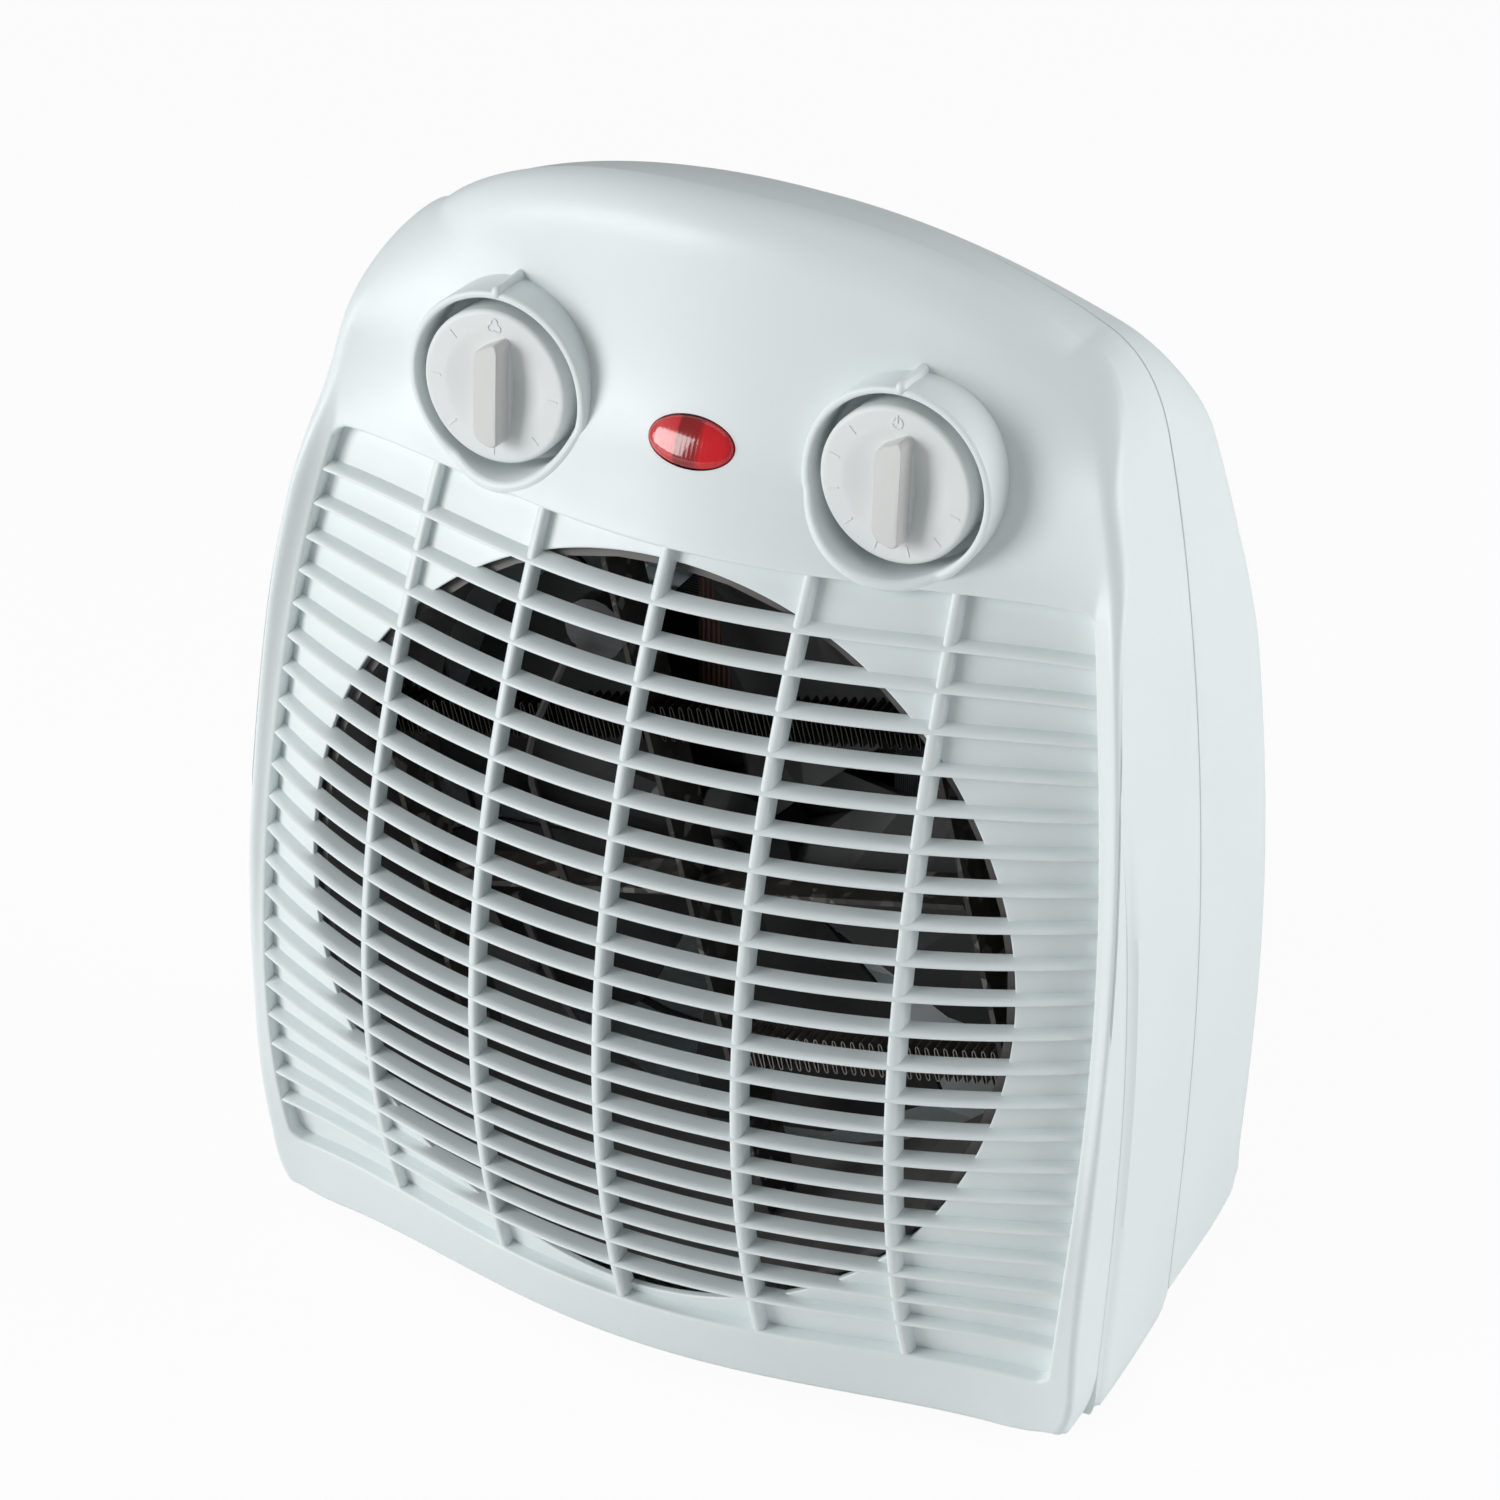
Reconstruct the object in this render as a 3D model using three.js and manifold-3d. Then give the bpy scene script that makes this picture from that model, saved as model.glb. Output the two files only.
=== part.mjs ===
// Upright fan heater: a two-piece plastic casing with a louvred front, two dials, a lamp,
// and behind the louvres a round duct with a heating element, a fan and its motor.
// Millimetres. x runs to the right as seen from the front, y from the front to the back,
// z up from the table. The front-most point of the casing is y = 0 until the last lines.
import * as THREE from "three";
import { mergeVertices } from "three/addons/utils/BufferGeometryUtils.js";
import Module from "manifold-3d";

const wasm = await Module();
wasm.setup();

// Casing
const BODY_DEPTH = 119;
const HALF_WIDTH = 99.8;
const SEAM_Y = 76.5;
const SEAM_FOOT = 76.2;
const SEAM_LEAN = 0.03;
const SEAM_GAP = 0.3;
const WALL = 2.2;
const BODY_BOTTOM = 4.2;
const PLATE_BOTTOM = 2.5;
const PLATE_BACK = 37.4;
const SEAM_BOTTOM = 10.8;
const CORNER_TOP = 226;
const CROWN = 7.6;
const CROWN_HALF = 76;
const CROWN_Y = 59.1;
const CORNER_SWELL = 2;
const SWELL_START = 40;
// The sides' swell in front: at the foot, what it gains by mid height, and what it loses above
const SIDE_SWELL = 0.6;
const SIDE_GAIN = 2.4;
const SIDE_LOSS = 0.6;
const SIDE_GAINS = [20, 160];
const SIDE_LOSES = [172, 225];
const GROOVE_DEPTH = 1.2;
const RIM_PROUD = 0.8;
const BACK_Y = 117.5;
const BACK_RADIUS = 8;
const BACK_LEAN_Z = 150;
const BACK_LEAN = 0.26;
const BACK_EASE = 14;
const TOP_FALL = 0.5;
const TOP_FALLS = [205, 243];
const REAR_BELLY = 1.6;
const BELLY_Z = 95;
const BELLY_HALF = 85;
const REAR_RISE = 0.06;
const REAR_CURL = 0.012;
const CURL_START = 97;
const PLATE_CORNER = 2;
const PAD_X = 94;
const PAD_Y = 112.4;
const PAD_Z = 15.5;
const PAD_TALL = 19;
// x and z of the four screws that hold the covers together
const SCREW_PLACES = [
  [-80, 27],
  [80, 27],
  [-78, 197],
  [78, 197],
];
const WELL_DEPTH = 8;
const SCREW_LENGTH = 20;

// Front face
const FACE_SPAN = 83.33;
const FACE_Z = 105;
const FACE_FRONT = 1.6;
const PANEL_BEND = 205;
const PANEL_FADE = 13.3;
// The face's upper corners roll back from this height on
const CORNER_ROLL = 0.025;
const ROLL_Z = 208;
const ROLL_REACH = 26;
const ROLL_HALF = 80;
const TUCK_MIDDLE = 0.31;
const TUCK_SIDES = 0.09;
const BAND_EASE = 1.3;
const BAND_RISE = 0.8;
// Heights between which the band's forward part grows, and between which it fades again
const BAND_GROWS = [50, 100];
const BAND_FADES = [175, 205];

// Outlet and louvres
const OUTLET_Z = 104.1;
const OUTLET_R = 82.2;
const LOUVRES = 21;
const LOUVRE_PITCH = 7.5;
const LOUVRE_TOP = 180;
const LOUVRE_HALF = 0.75;
const BAR_HALF = 1.2;
const FRAME_TOP = 189.7;
const FRAME_BOTTOM = 19.6;
const RIB_SET_BACK = 0.3;
const RIB_DEPTH = 5.2;
const PANEL_FRONT = 3.8;
const PANEL_BACK = 5.4;
const FRAME_DEPTH = 5.6;
const OVERLAP = 0.6;

// Dials and lamp
const DIAL_X = 45;
const DIAL_Z = 209.75;
const DIAL_Y = 43.35;
const DIAL_TILT = THREE.MathUtils.degToRad(3.7);
const DIAL_R = 16.5;
const DIAL_PROUD = 0.3;
const DIAL_BACK = 8;
const COLLAR_IN = 18.75;
const COLLAR_OUT = 20.4;
const COLLAR_FLOOR = 9.5;
const POINTER_WIDTH = 1.5;
const POINTER_LENGTH = 13;
const POINTER_HEIGHT = 2.4;
// The grip's outline on the dial, as pairs across and up: its upper left corner is cut off
const GRIP_OUTLINE = [
  [3.6, -10.4],
  [3.6, 10.4],
  [2.6, 11.5],
  [-3.6, 8],
  [-3.6, -9],
  [-2.2, -11],
  [1.8, -11.4],
];
const GRIP_LOW = 2.6;
const GRIP_HIGH = 5.2;
const KNOB_SHAFT_R = 3;
const KNOB_SHAFT_END = 24;
const LAMP_Z = 208.4;
const LAMP_Y = 43.2;
const LAMP_TILT = THREE.MathUtils.degToRad(28);
const LAMP_HALF_WIDTH = 9.4;
const LAMP_HALF_HEIGHT = 5.15;
const NEON_R = 2.4;
const NEON_END = 11;
const CLEAR = 0.3;

// Inside
const DUCT_IN = 80;
const DUCT_OUT = 82;
const DUCT_BACK = 72;
const BOARD_FRONT = 40;
const BOARD_BACK = 53;
const BOARD_REACH = 79.4;
const FAN_Y = 64.5;
const FAN_R = 72;
const BLADES = 5;
const BRACKET_Y = 72.3;
const STATOR_Y = 80.3;
const STACK = 16;
const ROTOR_R = 11.6;
const SHAFT_R = 2.5;
const FOOT_TOP = 3.9;
const FOOT_PLACES = { front: 50, rear: 94 };
const FOOT_X = 78;
const LEG_R = 9;
const INTAKE_R = 64;
const INTAKE_FIELD = 58;
const INTAKE_PITCH = 8.5;
const INLET_X = 62;
const INLET_Z = 36;
const INNER_BACK = BACK_Y - WALL - CLEAR;
const TERMINAL_X = 64;
const TERMINAL_Z = 48;
const TERMINAL_PITCH = 7;
const CLAMP_TOP = 29.4;
const LEAD_R = 0.9;
const STRAP_SCREW_X = 23;
const CORE_HALF = 28;
const WINDOW_HALF = 19;

// Element: distances are measured along its boards, which stand turned from the level
const ELEMENT_TURN = THREE.MathUtils.degToRad(14);
const BOARD_HALF = 0.6;
const END_BOARD = 66;
const RIBBON_FRONT = 42;
const RIBBON_WIDTH = 6;
const RIBBON_LEVEL = 38.8;
const RIBBON_SWING = 3.7;
const RIBBON_FOLDS = 26;

// Leads in front of the element and from the controls down to the terminal block
const WIRES = {
  element_lead_upper: [[-25, 38, 158], [-36, 38, 129], [-32.5, 38, 112], [-28, 38, 100]],
  element_lead_lower: [[-40.5, 38, 93], [-36.4, 38, 83], [-31, 38, 72], [-23, 38, 60]],
  lead_right: [[45, 80, 205], [62, 83, 188], [83, 88, 160], [89, 90, 120], [83, 100, 76], [70, 109, 62]],
  lead_left: [
    [-45, 80, 205],
    [-62, 83, 188],
    [-83, 88, 160],
    [-88, 88, 110],
    [-68, 92, 44],
    [0, 96, 28],
    [50, 104, 40],
  ],
};

const whitePlastic = () =>
  new THREE.MeshStandardMaterial({ color: 0xeef2f3, roughness: 0.42, metalness: 0 });
const dialPlastic = () =>
  new THREE.MeshStandardMaterial({ color: 0xe6e8e6, roughness: 0.45, metalness: 0 });
const greyPlastic = () =>
  new THREE.MeshStandardMaterial({ color: 0x77797a, roughness: 0.55, metalness: 0 });
const blackPlastic = () =>
  new THREE.MeshStandardMaterial({ color: 0x1c1c1e, roughness: 0.5, metalness: 0 });
const redPlastic = () =>
  new THREE.MeshStandardMaterial({ color: 0xd4141c, roughness: 0.15, metalness: 0 });
const glass = () =>
  new THREE.MeshStandardMaterial({ color: 0xe9c9b5, roughness: 0.05, metalness: 0 });
const mica = () =>
  new THREE.MeshStandardMaterial({ color: 0xc9bda2, roughness: 0.5, metalness: 0 });
const steel = () =>
  new THREE.MeshStandardMaterial({ color: 0xb4b8ba, roughness: 0.35, metalness: 1 });
const brass = () =>
  new THREE.MeshStandardMaterial({ color: 0xb58c4a, roughness: 0.3, metalness: 1 });
const copper = () =>
  new THREE.MeshStandardMaterial({ color: 0xa75a32, roughness: 0.4, metalness: 1 });
const rubber = () =>
  new THREE.MeshStandardMaterial({ color: 0x2a2a2b, roughness: 0.8, metalness: 0 });

// Solids: geometry in, boolean work, geometry out.
function solid(geometry) {
  const bare = geometry.index ? geometry.toNonIndexed() : geometry.clone();
  bare.deleteAttribute("normal");
  bare.deleteAttribute("uv");
  const merged = mergeVertices(bare, 1e-4);
  return new wasm.Manifold(
    new wasm.Mesh({
      numProp: 3,
      vertProperties: new Float32Array(merged.attributes.position.array),
      triVerts: new Uint32Array(merged.index.array),
    }),
  );
}

function geometryOf(body) {
  const mesh = body.getMesh();
  const stride = mesh.numProp;
  const positions = new Float32Array(mesh.numVert * 3);
  for (let i = 0; i < mesh.numVert; i++) {
    positions.set(mesh.vertProperties.subarray(i * stride, i * stride + 3), i * 3);
  }
  const geometry = new THREE.BufferGeometry();
  geometry.setAttribute("position", new THREE.BufferAttribute(positions, 3));
  geometry.setIndex(new THREE.BufferAttribute(new Uint32Array(mesh.triVerts), 1));
  geometry.computeVertexNormals();
  return geometry;
}

function join(first, ...others) {
  return others.reduce((whole, next) => whole.add(next), first);
}

function cut(first, ...others) {
  return others.reduce((whole, next) => whole.subtract(next), first);
}

function box(x0, x1, y0, y1, z0, z1) {
  const geometry = new THREE.BoxGeometry(x1 - x0, y1 - y0, z1 - z0);
  geometry.translate((x0 + x1) / 2, (y0 + y1) / 2, (z0 + z1) / 2);
  return solid(geometry);
}

// A cylinder along y from y0 to y1.
function rodY(x, z, radius, y0, y1, sides = 20) {
  const geometry = new THREE.CylinderGeometry(radius, radius, y1 - y0, sides);
  geometry.translate(x, (y0 + y1) / 2, z);
  return solid(geometry);
}

// A turned shape about the y axis: the profile holds pairs of radius and depth.
function turnedY(profile, x, z, sides = 24) {
  const points = profile.map(([radius, y]) => new THREE.Vector2(radius, y));
  const geometry = new THREE.LatheGeometry(points, sides);
  geometry.translate(x, 0, z);
  return solid(geometry);
}

// A flat outline in x and z, with holes, given thickness along y.
function plateY(shape, y0, y1, curveSegments = 8) {
  const geometry = new THREE.ExtrudeGeometry(shape, {
    depth: y1 - y0,
    bevelEnabled: false,
    curveSegments,
  });
  geometry.rotateX(Math.PI / 2);
  geometry.translate(0, y1, 0);
  return solid(geometry);
}

// A closed skin over rings of points: each ring has the same number of points, in the same order.
// When looped, the last ring joins the first; otherwise both ends are closed by a fan.
function ringSolid(rings, looped) {
  const count = rings[0].length;
  const positions = [];
  const triangle = (a, b, c) => {
    for (const p of [a, b, c]) positions.push(p.x, p.y, p.z);
  };
  const bands = looped ? rings.length : rings.length - 1;
  for (let i = 0; i < bands; i++) {
    const near = rings[i];
    const far = rings[(i + 1) % rings.length];
    for (let j = 0; j < count; j++) {
      const k = (j + 1) % count;
      triangle(near[j], far[k], near[k]);
      triangle(near[j], far[j], far[k]);
    }
  }
  if (!looped) {
    const last = rings[rings.length - 1];
    const middle = (ring) =>
      ring.reduce((sum, p) => sum.add(p), new THREE.Vector3()).divideScalar(count);
    const start = middle(rings[0]);
    const end = middle(last);
    for (let j = 0; j < count; j++) {
      const k = (j + 1) % count;
      triangle(rings[0][j], rings[0][k], start);
      triangle(last[k], last[j], end);
    }
  }
  const geometry = new THREE.BufferGeometry();
  geometry.setAttribute("position", new THREE.Float32BufferAttribute(positions, 3));
  return solid(geometry);
}

// Depth of the front face: a shallow bowl that leans back, more upright above the dials.
function faceDepth(x, z) {
  const across = x / FACE_SPAN;
  const bend = PANEL_BEND - PANEL_FADE * (1 - Math.exp(-((across / 0.72) ** 4)));
  const height = Math.max(z, FRAME_BOTTOM);
  const level = height < bend ? height : bend + PANEL_FADE * (1 - Math.exp((bend - z) / PANEL_FADE));
  const up = (level - FACE_Z) / FACE_SPAN;
  const lean = 11.55 * up + 18 * up ** 2;
  const bow = 17.9 + 4.03 * up + 7.06 * up ** 2 - 3.31 * up ** 3;
  const flare = 2.22 - 0.78 * up - 11.9 * up ** 2;
  const tuck = (height - z) * THREE.MathUtils.lerp(TUCK_MIDDLE, TUCK_SIDES, Math.min(1, across ** 2));
  return FACE_FRONT + lean + bow * across ** 2 + flare * across ** 4 + tuck + cornerRoll(x, z);
}

function cornerRoll(x, z) {
  const up = THREE.MathUtils.clamp(z - ROLL_Z, 0, ROLL_REACH);
  return CORNER_ROLL * up ** 2 * Math.min(1.2, (x / ROLL_HALF) ** 4);
}

function frameHalfWidth(z) {
  return 97.3 - 9.2 * ((z - 86) / 94) ** 2;
}

// Depth outside the louvred field, where the band lies flatter than the bowl and comes a little
// forward again towards the fold.
function bandDepth(x, z) {
  const half = frameHalfWidth(THREE.MathUtils.clamp(z, FRAME_BOTTOM, FRAME_TOP));
  const past = Math.abs(x) - half;
  if (past <= 0) return faceDepth(x, z);
  const grown = THREE.MathUtils.smoothstep(z, ...BAND_GROWS);
  const forward = grown * (1 - THREE.MathUtils.smoothstep(z, ...BAND_FADES));
  const eased = half + BAND_EASE * (1 - Math.exp(-past / BAND_EASE));
  return faceDepth(eased, z) - (BAND_RISE * forward * past ** 2) / (past + 1.5);
}

// Depth of the seam between the covers: it leans back a little towards the top.
function seamDepth(z) {
  return SEAM_FOOT + SEAM_LEAN * z;
}

// Outline of the casing at the seam, seen from the front: right half from top to bottom.
function outlinePath() {
  const path = new THREE.Path();
  path.moveTo(0, 248);
  path.bezierCurveTo(28, 248, 54, 241.5, 72, 232.6);
  path.bezierCurveTo(79, 229, 83.3, 222, 85.6, 212);
  path.bezierCurveTo(91.5, 188, HALF_WIDTH, 135, HALF_WIDTH, 76);
  path.bezierCurveTo(HALF_WIDTH, 50, 98.6, 25, 98, 12);
  path.quadraticCurveTo(98, BODY_BOTTOM, 95.5, BODY_BOTTOM);
  path.lineTo(0, BODY_BOTTOM);
  return path;
}

const OUTLINE = outlinePath().getPoints(40);

// Distance from the outlet centre to the outline, in the direction of an angle.
function outlineReach(angle) {
  const side = Math.abs(Math.cos(angle));
  const rise = Math.sin(angle);
  for (let i = 0; i + 1 < OUTLINE.length; i++) {
    const a = OUTLINE[i];
    const b = OUTLINE[i + 1];
    const crossA = side * (a.y - OUTLET_Z) - rise * a.x;
    const crossB = side * (b.y - OUTLET_Z) - rise * b.x;
    if (crossA >= 0 && crossB <= 0 && crossA - crossB > 1e-9) {
      const p = a.clone().lerp(b, crossA / (crossA - crossB));
      return Math.hypot(p.x, p.y - OUTLET_Z);
    }
  }
  return rise > 0 ? OUTLINE[0].y - OUTLET_Z : OUTLET_Z - BODY_BOTTOM;
}

// Distance from the outlet centre to the edge of the louvred field.
function frameReach(angle) {
  const side = Math.abs(Math.cos(angle));
  const rise = Math.sin(angle);
  let near = 60;
  let far = 135;
  while (far - near > 0.01) {
    const reach = (near + far) / 2;
    const z = OUTLET_Z + reach * rise;
    const inside = z > FRAME_BOTTOM && z < FRAME_TOP && reach * side < frameHalfWidth(z);
    if (inside) near = reach;
    else far = reach;
  }
  return near;
}

// The casing is drawn as spokes from the outlet centre, closer together at the corners.
function spokeAngles() {
  const corner = (x, z) => Math.atan2(z - OUTLET_Z, x);
  const right = [
    corner(frameHalfWidth(FRAME_TOP), FRAME_TOP),
    corner(frameHalfWidth(FRAME_BOTTOM), FRAME_BOTTOM),
    corner(72, 232.6),
    corner(83, 221),
    corner(98, 12),
    corner(97, 5.5),
    corner(95.5, BODY_BOTTOM),
  ];
  for (let i = -11; i <= 11; i++) {
    right.push((i * Math.PI) / 22);
  }
  right.sort((a, b) => a - b);
  const apart = right.filter((angle, i) => i === 0 || angle - right[i - 1] > 0.012);
  const left = apart.slice(1, -1).map((angle) => Math.PI - angle);
  return [...apart, ...left.sort((a, b) => a - b)];
}

function spokePoint(spoke, reach) {
  return {
    x: reach * Math.cos(spoke.angle),
    z: OUTLET_Z + reach * Math.sin(spoke.angle),
  };
}

// Each spoke knows its reach to the casing's outline and to the louvred field, and the outline's
// point there.
const SPOKES = spokeAngles().map((angle) => {
  const reach = outlineReach(angle);
  return { angle, reach, frame: frameReach(angle), edge: spokePoint({ angle }, reach) };
});

// How far the casing stands out from its seam outline towards the front.
function swell({ edge }) {
  if (edge.z > CORNER_TOP) return Math.max(CORNER_SWELL, CROWN * (1 - (edge.x / CROWN_HALF) ** 4));
  const [from, to] = SIDE_GAINS;
  const side = SIDE_SWELL + SIDE_GAIN * THREE.MathUtils.clamp((edge.z - from) / (to - from), 0, 1);
  return side - SIDE_LOSS * THREE.MathUtils.smoothstep(edge.z, ...SIDE_LOSES);
}

// The share of that swell left at a depth: it ends at the seam.
function swellShare({ edge }, y) {
  if (edge.z > CORNER_TOP) return 1 - Math.max(0, (y - CROWN_Y) / (SEAM_Y - CROWN_Y)) ** 2;
  return 1 - THREE.MathUtils.clamp((y - SWELL_START) / (SEAM_Y - SWELL_START), 0, 1) ** 2;
}

// The front plate's lower corners are rounder than those of the wall behind it.
function plateReach(spoke) {
  const { x, z } = spoke.edge;
  const away = (Math.abs(x) - 96) ** 2 + (z - 5) ** 2;
  return spoke.reach + swell(spoke) - PLATE_CORNER * Math.exp(-away / 40);
}

function edgeRadius({ edge }) {
  if (edge.z > CORNER_TOP) return 5 + 5.5 * (1 - (edge.x / 86) ** 2);
  return 2 + 3 * THREE.MathUtils.clamp((edge.z - 150) / 76, 0, 1);
}

// Underside of the front cover: the plate hangs lowest, and the wall rises before the seam.
function lowerEdge(y) {
  if (y < PLATE_BACK) return PLATE_BOTTOM;
  const rise = THREE.MathUtils.clamp((y - 70) / (SEAM_Y - 70), 0, 1);
  return BODY_BOTTOM + (SEAM_BOTTOM - BODY_BOTTOM) * rise ** 2;
}

// The groove where the front plate meets the side wall fades out towards the top.
function grooveShare({ edge }) {
  return THREE.MathUtils.clamp((155 - edge.z) / 35, 0, 1);
}

function grooveDepth(spoke, y) {
  const away = Math.abs(y - (PLATE_BACK + 0.7)) / 3;
  return GROOVE_DEPTH * grooveShare(spoke) * Math.max(0, 1 - away);
}

// A point of the side wall in front of the seam, moved in by an inset. Depths are given as if the
// seam stood upright at SEAM_Y; behind the crown they are stretched to the leaning seam.
function wallPoint(spoke, y, inset) {
  const share = swellShare(spoke, y);
  const behindPlate = y > PLATE_BACK;
  const groove = inset < WALL && behindPlate ? grooveDepth(spoke, y) : 0;
  const rim = behindPlate ? RIM_PROUD * grooveShare(spoke) * share : 0;
  const reach = behindPlate ? spoke.reach + swell(spoke) * share + rim - groove : plateReach(spoke);
  const { x, z } = spokePoint(spoke, reach - inset);
  const low = lowerEdge(y) + inset;
  const drop = z < 12 && !behindPlate ? (BODY_BOTTOM - PLATE_BOTTOM) * Math.min(1, (12 - z) / 7) : 0;
  const depth = y < CROWN_Y ? y : CROWN_Y + (y - CROWN_Y) * seamStretch(spoke);
  return new THREE.Vector3(x, depth, Math.max(z - drop, low));
}

function seamStretch({ edge }) {
  return (seamDepth(edge.z) - CROWN_Y) / (SEAM_Y - CROWN_Y);
}

// The rounded edge between front face and side wall: turn runs from 0 on the face to 1 on the wall.
function edgePoint(spoke, turn) {
  const radius = edgeRadius(spoke);
  const inward = radius * (1 - Math.sin((turn * Math.PI) / 2));
  const backward = radius * (1 - Math.cos((turn * Math.PI) / 2));
  const p = spokePoint(spoke, plateReach(spoke) - inward);
  const z = Math.max(p.z, PLATE_BOTTOM + inward * 0.6);
  return new THREE.Vector3(p.x, bandDepth(p.x, z) + backward, z);
}

function facePoint(spoke, share) {
  const edge = plateReach(spoke) - edgeRadius(spoke);
  const p = spokePoint(spoke, THREE.MathUtils.lerp(spoke.frame, edge, share));
  return new THREE.Vector3(p.x, bandDepth(p.x, p.z), p.z);
}

// A ring of the side wall at a depth, or just behind the rounded edge where that lies deeper.
function wallRing(y, inset) {
  return SPOKES.map((spoke) => {
    const edge = edgePoint(spoke, 1).y + FRAME_DEPTH * (inset / WALL);
    const start = edge < CROWN_Y ? edge : CROWN_Y + (edge - CROWN_Y) / seamStretch(spoke);
    const room = SEAM_Y - start;
    return wallPoint(spoke, Math.max(y, start + room * 0.1 * ((y - 36) / 40)), inset);
  });
}

// The inside of the front wall, measured as a distance from the outlet centre.
function insidePoint(spoke, reach, thickness) {
  const radius = edgeRadius(spoke);
  const inward = plateReach(spoke) - WALL - reach;
  const into = Math.max(0, radius - inward);
  const p = spokePoint(spoke, reach);
  const z = Math.max(p.z, PLATE_BOTTOM + WALL);
  const rounding = radius - Math.sqrt(radius ** 2 - into ** 2);
  return new THREE.Vector3(p.x, bandDepth(p.x, z) + thickness + rounding, z);
}

// Inner rings from the side wall to the frame: where the frame runs close to the wall they crowd
// together and keep the frame's full depth.
function insideRings() {
  const shares = [1, 0.75, 0.5, 0.25, 0];
  const wall = (spoke) => plateReach(spoke) - WALL;
  const nearFrame = (spoke) => Math.min(1.8, (wall(spoke) - spoke.frame) * 0.6);
  const isNarrow = (spoke) => wall(spoke) - spoke.frame < 8;
  const thickness = (spoke) => (isNarrow(spoke) ? FRAME_DEPTH : WALL);
  const rings = [SPOKES.map((spoke) => insidePoint(spoke, wall(spoke), thickness(spoke)))];
  for (const share of shares) {
    rings.push(
      SPOKES.map((spoke) => {
        const room = wall(spoke) - spoke.frame;
        const outer = wall(spoke) - Math.min(edgeRadius(spoke), room * 0.2);
        const reach = THREE.MathUtils.lerp(spoke.frame + nearFrame(spoke), outer, share);
        return insidePoint(spoke, reach, thickness(spoke));
      }),
    );
  }
  rings.push(SPOKES.map((spoke) => insidePoint(spoke, spoke.frame + nearFrame(spoke) * 0.9, FRAME_DEPTH)));
  rings.push(SPOKES.map((spoke) => insidePoint(spoke, spoke.frame, FRAME_DEPTH)));
  return rings;
}

function frontShell() {
  const rings = [];
  for (const share of [0, 0.25, 0.5, 0.75]) {
    rings.push(SPOKES.map((spoke) => facePoint(spoke, share)));
  }
  for (const turn of [0, 0.3, 0.65, 1]) {
    rings.push(SPOKES.map((spoke) => edgePoint(spoke, turn)));
  }
  for (const y of [PLATE_BACK, PLATE_BACK + 0.7, PLATE_BACK + 3.7, 66, 72, SEAM_Y]) {
    rings.push(wallRing(y, 0));
  }
  rings.push(wallRing(SEAM_Y, WALL));
  rings.push(wallRing(66, WALL));
  rings.push(...insideRings());
  return ringSolid(rings, true);
}

function barCentres(z) {
  const up = Math.max(0, (z - 30) / 150);
  const inner = 31.2 - 0.9 * up;
  const outer = 62.2 - 2.7 * up ** 2.5;
  return [-outer, -inner, 0, inner, outer];
}

// The x stations of one level of the louvred field: its two edges and both sides of each bar.
function fieldStations(z) {
  const half = frameHalfWidth(z) + OVERLAP;
  const stations = [-half];
  for (const centre of barCentres(z)) {
    stations.push(centre - BAR_HALF, centre + BAR_HALF);
  }
  stations.push(half);
  return stations;
}

// Builds a closed skin round the filled cells of a curved sheet between two set-backs.
function fieldSolid(levels, filled, front, back) {
  const columns = fieldStations(FACE_Z).length - 1;
  const rows = levels.length - 1;
  const node = (i, j, setBack) => {
    const x = fieldStations(levels[j])[i];
    return [x, faceDepth(x, levels[j]) + setBack, levels[j]];
  };
  const positions = [];
  const quad = (a, b, c, d) => positions.push(...a, ...b, ...c, ...a, ...c, ...d);
  const has = (i, j) => i >= 0 && j >= 0 && i < columns && j < rows && filled(i, j);
  for (let j = 0; j < rows; j++) {
    for (let i = 0; i < columns; i++) {
      if (!has(i, j)) continue;
      const f = [node(i, j, front), node(i + 1, j, front), node(i + 1, j + 1, front), node(i, j + 1, front)];
      const b = [node(i, j, back), node(i + 1, j, back), node(i + 1, j + 1, back), node(i, j + 1, back)];
      quad(f[0], f[1], f[2], f[3]);
      quad(b[3], b[2], b[1], b[0]);
      if (!has(i - 1, j)) quad(b[0], f[0], f[3], b[3]);
      if (!has(i + 1, j)) quad(f[1], b[1], b[2], f[2]);
      if (!has(i, j - 1)) quad(b[0], b[1], f[1], f[0]);
      if (!has(i, j + 1)) quad(f[3], f[2], b[2], b[3]);
    }
  }
  const geometry = new THREE.BufferGeometry();
  geometry.setAttribute("position", new THREE.Float32BufferAttribute(positions, 3));
  return solid(geometry);
}

// Louvres and upright bars: louvre rows are solid right across, gap rows only at the bars.
function louvreLattice() {
  const levels = [FRAME_BOTTOM - OVERLAP];
  for (let k = LOUVRES - 1; k >= 0; k--) {
    const z = LOUVRE_TOP - k * LOUVRE_PITCH;
    levels.push(z - LOUVRE_HALF, z + LOUVRE_HALF);
  }
  levels.push(FRAME_TOP + OVERLAP);
  return fieldSolid(levels, (i, j) => j % 2 === 1 || i % 2 === 1, RIB_SET_BACK, RIB_DEPTH);
}

// The closed panel behind the louvres, with the round outlet cut out of it.
function louvrePanel() {
  const rows = 8;
  const levels = [];
  for (let j = 0; j <= rows; j++) {
    levels.push(THREE.MathUtils.lerp(FRAME_BOTTOM - OVERLAP, FRAME_TOP + OVERLAP, j / rows));
  }
  const sheet = fieldSolid(levels, () => true, PANEL_FRONT, PANEL_BACK);
  return cut(sheet, rodY(0, OUTLET_Z, OUTLET_R, -5, 60, 56));
}

// Places a shape drawn round its own y axis at a dial, with its axis tilted like the dial's.
function atDial(geometry, side) {
  geometry.rotateX(-DIAL_TILT);
  geometry.translate(side * DIAL_X, DIAL_Y, DIAL_Z);
  return solid(geometry);
}

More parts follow.
